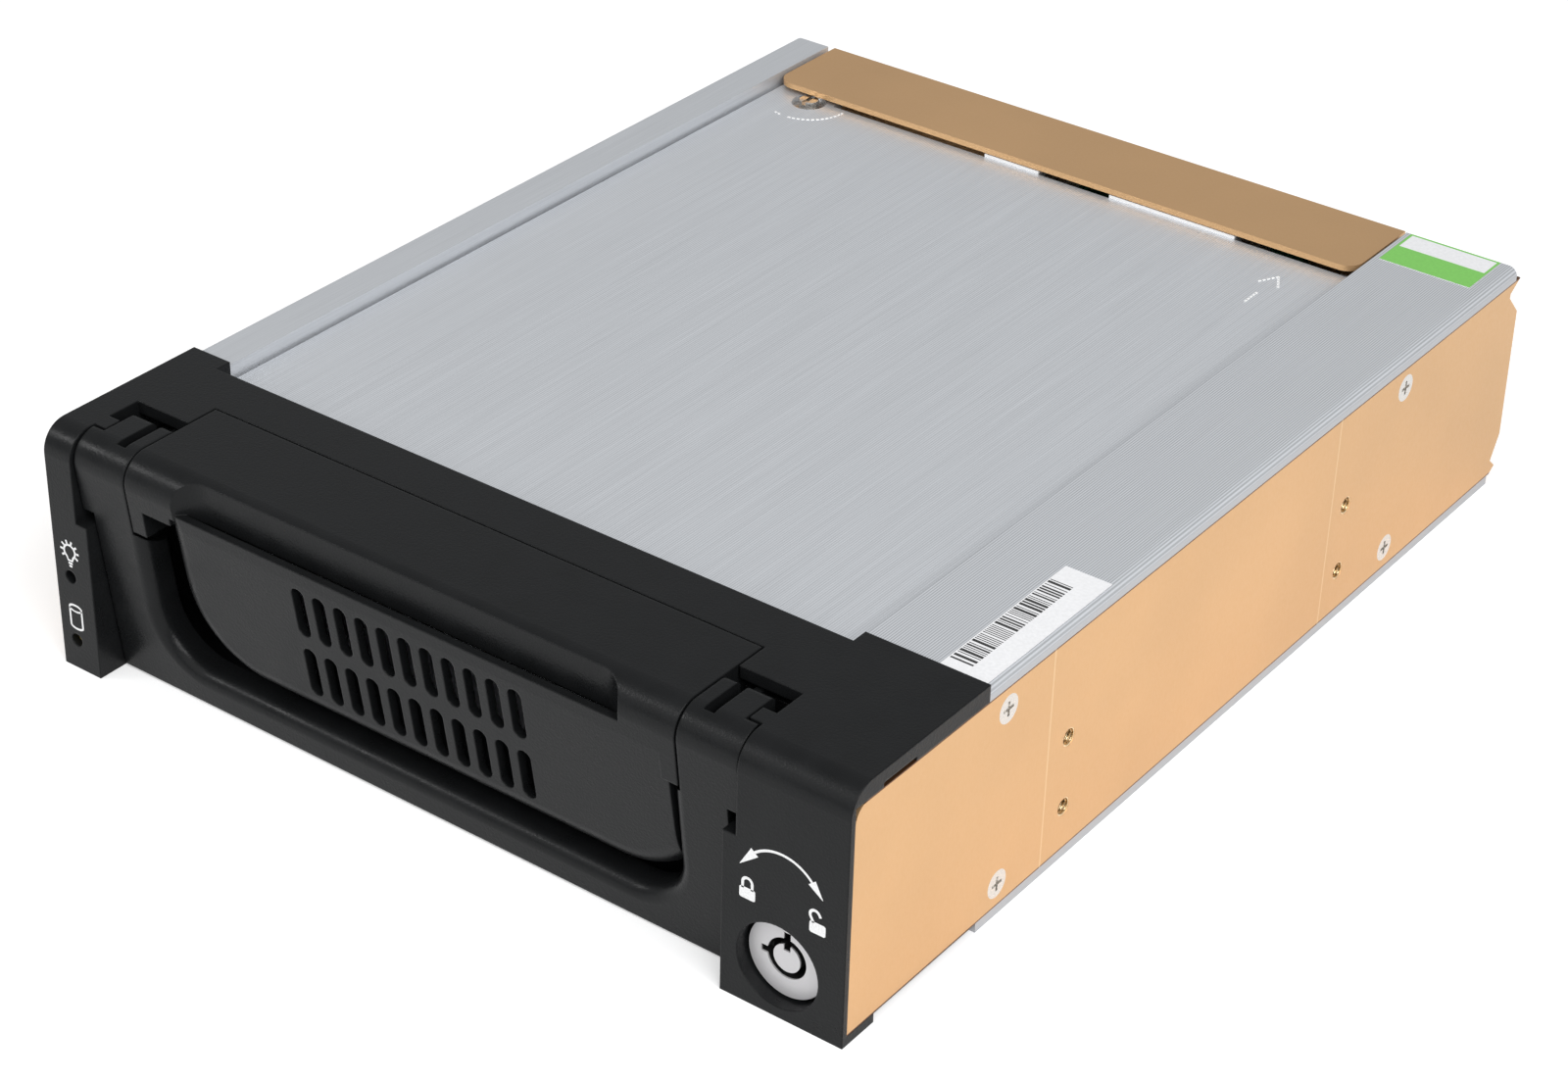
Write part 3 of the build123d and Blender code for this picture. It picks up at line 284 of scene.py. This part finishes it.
def passivated_sheet(name, colour, scored):
    """Tone: slow noise over the sheet. Lines: where the distance in Y to a score is under its width."""
    finish, tree, shader = new_finish(name, colour, 0.75, 0.4)
    film = add(tree, "ShaderNodeTexNoise", {"Scale": 1.0, "Detail": 3.0})
    tie(tree, stretched(tree, (1 / film_size,) * 3), film.inputs["Vector"])
    tone = ramp(tree, film.outputs["Fac"], (0.3, toned(colour, 0.95)), (0.7, toned(colour, 1.05)))
    rolled = add(tree, "ShaderNodeTexNoise", {"Scale": 1.0, "Detail": 4.0, "Roughness": 0.6})
    tie(tree, stretched(tree, (1 / roll_width, 1 / roll_width, 1 / roll_length)), rolled.inputs["Vector"])
    bump = add(tree, "ShaderNodeBump", {"Strength": 0.08, "Distance": 0.03 * mm})
    tie(tree, rolled.outputs["Fac"], bump.inputs["Height"])
    tie(tree, bump.outputs["Normal"], shader.inputs["Normal"])
    tie(tree, ramp(tree, rolled.outputs["Fac"], (0.3, 0.36), (0.7, 0.46)), shader.inputs["Roughness"])
    if scored:
        low, high = (corner[2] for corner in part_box("right_side_plate"))
        # Painted shade: a thin dark line along the top and bottom edges, where the plate meets the rails.
        tone = blended(tree, beyond(tree, "Z", high - seam_width, "GREATER_THAN"), tone, seam_shade_tone)
        tone = blended(tree, beyond(tree, "Z", low + seam_width, "LESS_THAN"), tone, seam_shade_tone)
        split = add(tree, "ShaderNodeSeparateXYZ")
        tie(tree, stretched(tree, (1.0, 1.0, 1.0)), split.inputs["Vector"])
        for place in score_places:
            near = add(tree, "ShaderNodeMath", {1: place, 2: score_width / 2}, operation="COMPARE")
            tie(tree, split.outputs["Y"], near.inputs[0])
            faint = add(tree, "ShaderNodeMath", {1: score_strength}, operation="MULTIPLY")
            tie(tree, near.outputs[0], faint.inputs[0])
            tone = blended(tree, faint.outputs[0], tone, score_tone)
    tie(tree, tone, shader.inputs["Base Color"])
    return finish


yellow = (0.725, 0.449, 0.223)
paint(passivated_sheet("scored_yellow_sheet", yellow, True), "left_side_plate", "right_side_plate")
paint(passivated_sheet("yellow_sheet", yellow, False), "rear_panel")

# %% [markdown]
# Screws, pins and the lock are plated. Turned and pressed metal scatters light a little
# differently from place to place, so noise moves the roughness up and down.

# %% Plated metal
keyway_shade_tone = (0.02, 0.02, 0.02)
keyway_depth = 0.25 * mm


def plated(name, colour, low, high, size, dent=0.1, metallic=1.0, shade_behind=None):
    """Roughness goes from low to high with noise of that size, and dent sets how much it bends the normal.

    Metal behind a given Y is painted nearly black, a painted shade in the deep keyway.
    """
    finish, tree, shader = new_finish(name, colour, metallic, (low + high) / 2)
    cloud = add(tree, "ShaderNodeTexNoise", {"Scale": 1.0, "Detail": 4.0})
    tie(tree, stretched(tree, (1 / size,) * 3), cloud.inputs["Vector"])
    tie(tree, ramp(tree, cloud.outputs["Fac"], (0.3, low), (0.7, high)), shader.inputs["Roughness"])
    if shade_behind:
        deep = beyond(tree, "Y", shade_behind, "GREATER_THAN")
        tie(tree, ramp(tree, deep, (0.0, colour), (1.0, keyway_shade_tone)), shader.inputs["Base Color"])
    bump = add(tree, "ShaderNodeBump", {"Strength": dent, "Distance": 0.02 * mm})
    tie(tree, cloud.outputs["Fac"], bump.inputs["Height"])
    tie(tree, bump.outputs["Normal"], shader.inputs["Normal"])
    return finish


nickel = plated("nickel", (0.74, 0.72, 0.69), 0.2, 0.36, 0.6 * mm)
paint(nickel, "side_screws", "rear_screws", "tray_screws", "lid_latch", "handle_pins", "cam_screw")
paint(plated("zinc", (0.60, 0.61, 0.62), 0.3, 0.5, 1.5 * mm), "lock_nut", "lock_cam")
keyway_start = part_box("lock_housing")[0][1] + keyway_depth
# The keyway behind the lock face gets a painted shade.
satin_chrome = plated("satin_chrome", (0.66, 0.65, 0.66), 0.42, 0.5, 0.25 * mm, 0.03, 0.4, keyway_start)
paint(satin_chrome, "lock_housing", "lock_core")

# %% [markdown]
# Inside there are circuit boards and plastic connectors, and two small lights look out of the post.
# A board's copper shows through its lacquer as slightly paler tracks, so a grid of bricks tints it.

# %% Boards, connectors and lights
track_size = 2 * mm
moulding_grain = 0.6 * mm


def lacquered_board(name, colour):
    """Tracks: a brick pattern a couple of millimetres wide lifts the lacquer's tone."""
    finish, tree, shader = new_finish(name, colour, 0.0, 0.3)
    grid = {"Scale": 1.0, "Mortar Size": 0.05, "Brick Width": 3.0, "Row Height": 0.6}
    tracks = add(tree, "ShaderNodeTexBrick", grid)
    tracks.inputs["Color1"].default_value = (*colour, 1.0)
    tracks.inputs["Color2"].default_value = (*toned(colour, 0.85), 1.0)
    tracks.inputs["Mortar"].default_value = (*toned(colour, 1.6), 1.0)
    place = add(tree, "ShaderNodeTexCoord")
    turn = add(tree, "ShaderNodeMapping", {"Rotation": (math.pi / 2, 0, 0), "Scale": (1 / track_size,) * 3})
    tie(tree, place.outputs["Object"], turn.inputs["Vector"])
    tie(tree, turn.outputs["Vector"], tracks.inputs["Vector"])
    tie(tree, tracks.outputs["Color"], shader.inputs["Base Color"])
    return finish


def connector_plastic(name, colour, roughness):
    """Fine moulding grain as bump, and a slow drift of tone."""
    finish, tree, shader = new_finish(name, colour, 0.0, roughness)
    grain = add(tree, "ShaderNodeTexNoise", {"Scale": 1.0, "Detail": 3.0})
    tie(tree, stretched(tree, (1 / moulding_grain,) * 3), grain.inputs["Vector"])
    bump = add(tree, "ShaderNodeBump", {"Strength": 0.15, "Distance": 0.03 * mm})
    tie(tree, grain.outputs["Fac"], bump.inputs["Height"])
    tie(tree, bump.outputs["Normal"], shader.inputs["Normal"])
    tone = ramp(tree, grain.outputs["Fac"], (0.3, toned(colour, 0.92)), (0.7, toned(colour, 1.06)))
    tie(tree, tone, shader.inputs["Base Color"])
    return finish


paint(lacquered_board("green_board", (0.025, 0.16, 0.07)), "backplane_board", "carrier_board", "light_board")
natural_plastic = connector_plastic("natural_plastic", (0.72, 0.70, 0.64), 0.45)
paint(natural_plastic, "backplane_sockets", "docking_plugs", "power_inlet")
paint(connector_plastic("black_connector", (0.03, 0.03, 0.032), 0.4), "data_port", "drive_socket")
paint(connector_plastic("smoked_lens", (0.02, 0.021, 0.022), 0.12), "power_light")
paint(connector_plastic("amber_lens", (0.34, 0.26, 0.05), 0.15), "drive_light")

# %% [markdown]
# The thin things come next: ink, paper, stamped marks and screw threads. Each is a surface worked
# out with numpy as a grid of points, P(i, j), with a second grid behind it and a rim that joins them.
# A grid like that is always closed, so it shades well from every side.

# %% Closed thin surfaces
def shell(front, back, closed=False):
    """Points and quads of a closed body between two grids of points P(i, j) and Q(i, j).

    With closed set, row i = m is row 0 again, so that the body is a ring without a seam.
    """
    m, n = front.shape[:2]
    index = np.arange(m * n).reshape(m, n)
    rows = np.concatenate([index, index[:1]]) if closed else index
    quads = np.stack([rows[:-1, :-1], rows[1:, :-1], rows[1:, 1:], rows[:-1, 1:]], -1).reshape(-1, 4)
    border = [np.stack([rows[:-1, 0], rows[1:, 0]], -1), np.stack([rows[1:, -1], rows[:-1, -1]], -1)]
    if not closed:
        border += [np.stack([index[-1, :-1], index[-1, 1:]], -1), np.stack([index[0, 1:], index[0, :-1]], -1)]
    near, far = np.concatenate(border).T
    behind = m * n
    rim = np.stack([far, near, near + behind, far + behind], -1)
    faces = np.concatenate([quads, quads[:, ::-1] + behind, rim])
    points = np.concatenate([front.reshape(-1, 3), back.reshape(-1, 3)])
    a, b, c, d = (points[faces[:, k]] - points.mean(0) for k in range(4))
    volume = np.sum(a * (np.cross(b, c) + np.cross(c, d)))
    return points, faces if volume > 0 else faces[:, ::-1]


def piece(name, bodies, finish, rides):
    """One object from several closed bodies given in millimetres, which rides on a CAD body."""
    starts = np.cumsum([0] + [len(points) for points, faces in bodies[:-1]])
    points = np.concatenate([points for points, faces in bodies]) * mm
    faces = np.concatenate([body[1] + start for body, start in zip(bodies, starts)])
    mesh = bpy.data.meshes.new(name)
    mesh.from_pydata(points.tolist(), [], faces.tolist())
    mesh.materials.append(finish)
    thing = bpy.data.objects.new(name, mesh)
    bpy.context.scene.collection.objects.link(thing)
    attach(thing, rides)
    return thing


def stroke(path, width, closed=False):
    """A grid two points wide along a flat path: path(i) plus and minus half a width along the normal."""
    path = np.asarray(path, float)
    ring = np.concatenate([path[-1:], path, path[:1]]) if closed else path
    along = np.gradient(ring, axis=0)[1:-1] if closed else np.gradient(path, axis=0)
    along /= np.linalg.norm(along, axis=1, keepdims=True)
    side = np.stack([-along[:, 1], along[:, 0]], -1) * width / 2
    return np.stack([path - side, path + side], 1)


def arc(centre, radius, start, stop, count=25):
    """Points on a circle: centre + radius (cos t, sin t), with t from start to stop in degrees."""
    t = np.radians(np.linspace(start, stop, count))
    return np.stack([centre[0] + radius * np.cos(t), centre[1] + radius * np.sin(t)], -1)


def head(base, tip, width):
    """An arrowhead as a grid two by two: the base edge, and a blunt tip a twentieth as wide."""
    base, tip = np.array(base, float), np.array(tip, float)
    way = (tip - base) / np.linalg.norm(tip - base)
    side = np.array([-way[1], way[0]]) * width / 2
    return np.array([[base - side, base + side], [tip - side / 20, tip + side / 20]])


# %% [markdown]
# White ink is printed on the post and on the lock block: a lamp and a disk beside the two lights,
# and a bent arrow with a closed and an open padlock over the key lock.
# Real ink is a few thousandths of a millimetre thick, so the strokes are thin shells on the plastic.

# %% White ink
ink_proud = 0.004
ink_sunk = 0.02
face_y = cad_box[0][1] / mm


def printed(grid, closed=False):
    """A flat grid of X and Z laid on the front face, just proud of it."""
    front = np.stack([grid[..., 0], np.full(grid.shape[:2], face_y - ink_proud), grid[..., 1]], -1)
    return shell(front, front + (0, ink_proud + ink_sunk, 0), closed)


def padlock(x, z, size, lift, turn):
    """A body with half width w(t) = s (1 - t^8)^(1/8), and a shackle lifted and turned about its foot."""
    t = np.linspace(-0.98, 0.98, 13)
    half = 0.5 * size * (1 - t ** 8) ** 0.125
    heights = z + 0.36 * size * t
    body = np.stack([np.stack([x - half, heights], -1), np.stack([x + half, heights], -1)], 1)
    bow = arc((0.3 * size, 0.3 * size), 0.3 * size, 180, 0)
    bow = np.concatenate([[[0, -0.1 * size]], bow, [[0.6 * size, lift * size]]])
    spin = np.array([[math.cos(turn), -math.sin(turn)], [math.sin(turn), math.cos(turn)]])
    bow = bow @ spin.T + (x - 0.3 * size, z + 0.36 * size)
    return [printed(body), printed(stroke(bow, 0.17 * size))]


speck_size = 0.25 * mm
ink, ink_tree, ink_shader = new_finish("white_ink", (0.86, 0.86, 0.86), 0.0, 0.5)
speck = add(ink_tree, "ShaderNodeTexNoise", {"Scale": 1.0, "Detail": 3.0})
tie(ink_tree, stretched(ink_tree, (1 / speck_size,) * 3), speck.inputs["Vector"])
tie(ink_tree, ramp(ink_tree, speck.outputs["Fac"], (0.25, 0.74), (0.6, 0.9)), ink_shader.inputs["Base Color"])

# %% Printed marks
arrow_w, arrow_head_w = 0.4, 1.5
swing = arc((62.45, 20.4), 6.55, 132, 42)
left_tip, right_tip = (55.7, 22.5), (69.1, 22.7)
turn_arrow = [
    printed(stroke(swing, arrow_w)),
    printed(head(swing[0], left_tip, arrow_head_w)),
    printed(head(swing[-1], right_tip, arrow_head_w)),
]
lock_size = 2.6
open_turn = math.radians(28)
locks = padlock(57.0, 18.1, lock_size, -0.1, 0.0) + padlock(68.4, 17.8, lock_size, 0.12, open_turn)

icon_w, brim_w = 0.36, 0.3
lamp_x, lamp_z, lamp_r = -69.65, 21.05, 1.15
neck_w, neck_z = 0.42, lamp_z - 1.55
neck = [[lamp_x - neck_w, neck_z], [lamp_x + neck_w, neck_z]]
bulb = np.concatenate([arc((lamp_x, lamp_z), lamp_r, -55, 235, 29), neck])
ray_reach = [[1.25], [1.95]]
ray_angles = np.radians(np.linspace(-32, 212, 8))
rays = [np.array([[math.cos(t), math.sin(t)]]) * ray_reach + (lamp_x, lamp_z) for t in ray_angles]
cap_sizes = ((neck_w, 19.0), (0.3, 18.5))
caps = [np.array([[lamp_x - w, z], [lamp_x + w, z]]) for w, z in cap_sizes]
lamp = [printed(stroke(bulb, icon_w, True), True)] + [printed(stroke(ray, icon_w)) for ray in rays + caps]

disk_x, disk_w, disk_h = -69.6, 1.25, 0.5
disk_top, brim_z, disk_low = 11.0, 10.9, 7.8


def half_oval(z, start, stop):
    """Half of the disk's oval rim: x0 + w cos(t) and z + h sin(t), with t from start to stop."""
    t = np.linspace(start, stop, 15)
    return np.stack([disk_x + disk_w * np.cos(t), z + disk_h * np.sin(t)], -1)


outline = np.concatenate([half_oval(disk_top, math.pi, 0), half_oval(disk_low, 0, -math.pi)])
brim = half_oval(brim_z, -math.pi, 0)
disk = [printed(stroke(outline, icon_w, True), True), printed(stroke(brim, brim_w))]
piece("block_print", turn_arrow + locks, ink, "frame")
piece("post_print", lamp + disk, ink, "frame")

# %% [markdown]
# Two paper labels lie on the right rail. Near the front there is a white one with plain bars,
# and at the rear a smaller one in white and green.
# Paper is matt and slightly mottled, and its edge is about a tenth of a millimetre thick.

# %% Paper labels
rail_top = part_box("right_rail")[1][2] / mm
paper_t = 0.09
paper_sunk = 0.02
print_t = 0.006
mottle_size = 0.5 * mm


def laid(x0, x1, y0, y1, low, high, count=9):
    """A flat sheet on the rail: X from x0 to x1 and Y from y0 to y1, between two heights over the rail."""
    x, y = np.meshgrid(np.linspace(x0, x1, count), np.linspace(y0, y1, count), indexing="ij")
    top = np.stack([x, y, np.full_like(x, rail_top + high)], -1)
    return shell(top, top - (0, 0, high - low))


def inked(x0, x1, y0, y1, count=9):
    """Ink on a label: a flat sheet from just inside the paper to just over it."""
    return laid(x0, x1, y0, y1, paper_t - paper_sunk, paper_t + print_t, count)


def paper(name, colour):
    """Mottle: noise half a millimetre wide moves the tone by a few hundredths."""
    finish, tree, shader = new_finish(name, colour, 0.0, 0.6)
    mottle = add(tree, "ShaderNodeTexNoise", {"Scale": 1.0, "Detail": 4.0})
    tie(tree, stretched(tree, (1 / mottle_size,) * 3), mottle.inputs["Vector"])
    tone = ramp(tree, mottle.outputs["Fac"], (0.3, toned(colour, 0.95)), (0.7, toned(colour, 1.04)))
    tie(tree, tone, shader.inputs["Base Color"])
    return finish


white_paper = paper("white_paper", (0.80, 0.80, 0.81))
label_x0, label_x1, label_y0, label_y1 = 64.5, 72.1, -62.3, -31.4
front_sheet = laid(label_x0, label_x1, label_y0, label_y1, -paper_sunk, paper_t)
piece("front_label", [front_sheet], white_paper, "frame")

bar_x0, bar_x1 = 64.7, 68.4
bar_start, bar_stop = label_y0 + 1.6, label_y1 - 3.7
bar_count = 60
dice = np.random.default_rng(5)
bar_w = dice.choice([0.18, 0.18, 0.18, 0.36, 0.54], bar_count)
bar_y = bar_start + np.cumsum(bar_w + dice.choice([0.25, 0.25, 0.45], bar_count)) - bar_w
bars = [inked(bar_x0, bar_x1, y, y + w, 2) for y, w in zip(bar_y, bar_w) if y + w < bar_stop]
piece("label_bars", bars, paper("black_print", (0.03, 0.03, 0.03)), "frame")

rear_x0, rear_x1, rear_y0, rear_y1 = 53.7, 70.0, 79.8, 91.0
field_y = 85.9
border = 0.45
rear_sheet = laid(rear_x0, rear_x1, rear_y0, rear_y1, -paper_sunk, paper_t)
piece("rear_label", [rear_sheet], white_paper, "frame")
green_print = paper("green_print", (0.20, 0.54, 0.11))
green_field = [
    inked(rear_x0, rear_x1, rear_y0, field_y),
    inked(rear_x0, rear_x0 + border, field_y, rear_y1),
    inked(rear_x1 - border, rear_x1, field_y, rear_y1),
    inked(rear_x0 + border, rear_x1 - border, rear_y1 - border, rear_y1),
]
piece("rear_label_band", green_field, green_print, "frame")

# %% [markdown]
# The lid carries marks from a stamp: an arrow that shows which way it slides off, and an arc about
# the turning latch. The stamp raises small burrs, so each mark is a row of low beads, painted near white as a
# highlight.

# %% Stamped marks on the lid
lid_top = 38.5
bead_w, bead_h, bead_t = 0.45, 0.1, 0.05
# Near white and barely metallic: a painted highlight on the stamped beads.
painted_glint = plated("painted_glint", (0.96, 0.96, 0.95), 0.25, 0.4, 0.5 * mm, metallic=0.15)


def bead(path, turns=7):
    """A low arch along a flat path: path(i) + w cos(t) normal, at height h sin(t), for t from 0 to pi."""
    path = np.asarray(path, float)
    along = np.gradient(path, axis=0)
    along /= np.linalg.norm(along, axis=1, keepdims=True)
    side = np.stack([-along[:, 1], along[:, 0]], -1)
    t = np.linspace(0, math.pi, turns)
    flat = path[:, None] + side[:, None] * (bead_w / 2 * np.cos(t))[None, :, None]
    arch = (lid_top + bead_h * np.sin(t))[None, :, None]
    top = np.concatenate([flat, np.broadcast_to(arch, flat.shape[:2] + (1,))], -1)
    return shell(top, top - (0, 0, bead_t))


def dashes(path, length=0.55, gap=0.3):
    """Beads of one length along a path, cut from it at even steps of the length and a gap."""
    way = np.r_[0, np.cumsum(np.linalg.norm(np.diff(path, axis=0), axis=1))]
    starts = np.arange(0, way[-1] - length + 1e-9, length + gap)
    steps = starts[:, None] + np.linspace(0, length, 5)
    return [bead(np.stack([np.interp(step, way, path[:, k]) for k in (0, 1)], -1)) for step in steps]


tip = np.array([42.1, 67.8])
strokes = [((0, -11.0), (0, -6.4)), ((0, 0), (-1.9, -3.6)), ((0, 0), (1.9, -3.6))]
arrow = [mark for start, stop in strokes for mark in dashes(np.linspace(tip + start, tip + stop, 9))]
latch_centre = (-56.8, 73.5)
latch_arc_r = 7.3
piece("lid_arrow", arrow, painted_glint, "lid")
arc_marks = dashes(arc(latch_centre, latch_arc_r, -108, -92, 9))
arc_marks += dashes(arc(latch_centre, latch_arc_r, -84, 2, 65))
piece("latch_arc", arc_marks, painted_glint, "lid")

# %% [markdown]
# The bay holes in the side plates are tapped for machine screws, and the thread shows as bright rings.
# A thread is a helix: its radius falls and rises once for each turn as it runs into the plate.

# %% Threads in the bay holes
thread_pitch = 0.5
thread_depth = 0.28
thread_wall = 0.04
hole_r = 1.5
hole_y = (-41.4, 37.85)
hole_z = (9.14, 21.08)
plate_out, plate_in = 72.96, 71.6


def thread(x_out, x_in, y, z):
    """A sleeve of radius r(t, x) = r0 - d (1 + cos(2 pi x / p - t)) / 2 in a hole along X."""
    t = np.linspace(0, 2 * math.pi, 48, endpoint=False)[:, None]
    x = np.linspace(x_out, x_in, 17)[None, :]
    r = hole_r - thread_wall - thread_depth * (1 + np.cos(2 * math.pi * x / thread_pitch - t)) / 2
    inner = np.stack(np.broadcast_arrays(x, y + r * np.cos(t), z + r * np.sin(t)), -1)
    wall = np.stack(np.broadcast_arrays(x, y + hole_r * np.cos(t), z + hole_r * np.sin(t)), -1)
    return shell(inner, wall, True)


holes = [(y, z) for y in hole_y for z in hole_z]
threads = [thread(side * plate_out, side * plate_in, y, z) for side in (-1, 1) for y, z in holes]
cut_thread = plated("cut_thread", (0.86, 0.66, 0.40), 0.2, 0.35, 0.4 * mm)
piece("bay_threads", threads, cut_thread, "frame")

# %% [markdown]
# The cage stands on a plain pale floor, which is as good as white, under a dimmer ceiling.
# The front and the sides mirror the floor and the lid mirrors the ceiling, and that is why the lid
# is darker in the photograph. A broad soft panel from the right gives the shadows a direction, a
# larger and dimmer one fills the front, and a small one from the left lights the black edges.

# %% Floor and light
floor_size = 12.0
half_floor = floor_size / 2
floor_z = cad_box[0][2] - 0.02 * mm
floor_mesh = bpy.data.meshes.new("floor")
floor_corners = half_floor * np.array([[-1, -1], [1, -1], [1, 1], [-1, 1]])
floor_mesh.from_pydata(np.c_[floor_corners, np.full(4, floor_z)].tolist(), [], [(0, 1, 2, 3)])
floor = bpy.data.objects.new("floor", floor_mesh)
bpy.context.scene.collection.objects.link(floor)
floor_finish, floor_tree, floor_shader = new_finish("pale_floor", (0.8, 0.8, 0.8), 0.0, 0.9)
floor_shader.inputs["Emission Color"].default_value = (1.0, 1.0, 1.0, 1.0)
floor_shader.inputs["Specular IOR Level"].default_value = 0.0
seen = add(floor_tree, "ShaderNodeLightPath")
glow = None
for kind, strength in (("Is Camera Ray", 0.36), ("Is Glossy Ray", 0.24), ("Is Transmission Ray", 0.24)):
    lift = add(floor_tree, "ShaderNodeMath", {1: strength, 2: 0.0}, operation="MULTIPLY_ADD")
    tie(floor_tree, seen.outputs[kind], lift.inputs[0])
    if glow:
        tie(floor_tree, glow, lift.inputs[2])
    glow = lift.outputs[0]
tie(floor_tree, glow, floor_shader.inputs["Emission Strength"])
floor_mesh.materials.append(floor_finish)

world = bpy.data.worlds.new("room")
bpy.context.scene.world = world
world.use_nodes = True
sky = world.node_tree.nodes["Background"]
sky.inputs["Color"].default_value = (0.97, 0.985, 1.0, 1.0)
sky.inputs["Strength"].default_value = 0.45


def panel_light(name, place, target, size, power):
    """A square soft panel that faces a target."""
    lamp = bpy.data.lights.new(name, "AREA")
    lamp.shape = "SQUARE"
    lamp.size = size
    lamp.energy = power
    panel = bpy.data.objects.new(name, lamp)
    bpy.context.scene.collection.objects.link(panel)
    panel.location = place
    panel.rotation_mode = "QUATERNION"
    panel.rotation_quaternion = (Vector(target) - Vector(place)).to_track_quat("-Z", "Y")
    print(name, "at", place, power, "W")


panel_light("key_panel", (0.75, -0.4, 0.8), (0, 0, 0.02), 0.8, 10.0)
panel_light("front_panel", (-0.1, -0.9, 0.75), (0, 0, 0.02), 1.1, 3.4)
panel_light("edge_panel", (-0.8, -0.7, 0.75), (0, 0, 0.02), 0.2, 2.0)

# %% [markdown]
# Last, the view transform is plain.

# %% Finish
bpy.context.scene.view_settings.view_transform = "Standard"
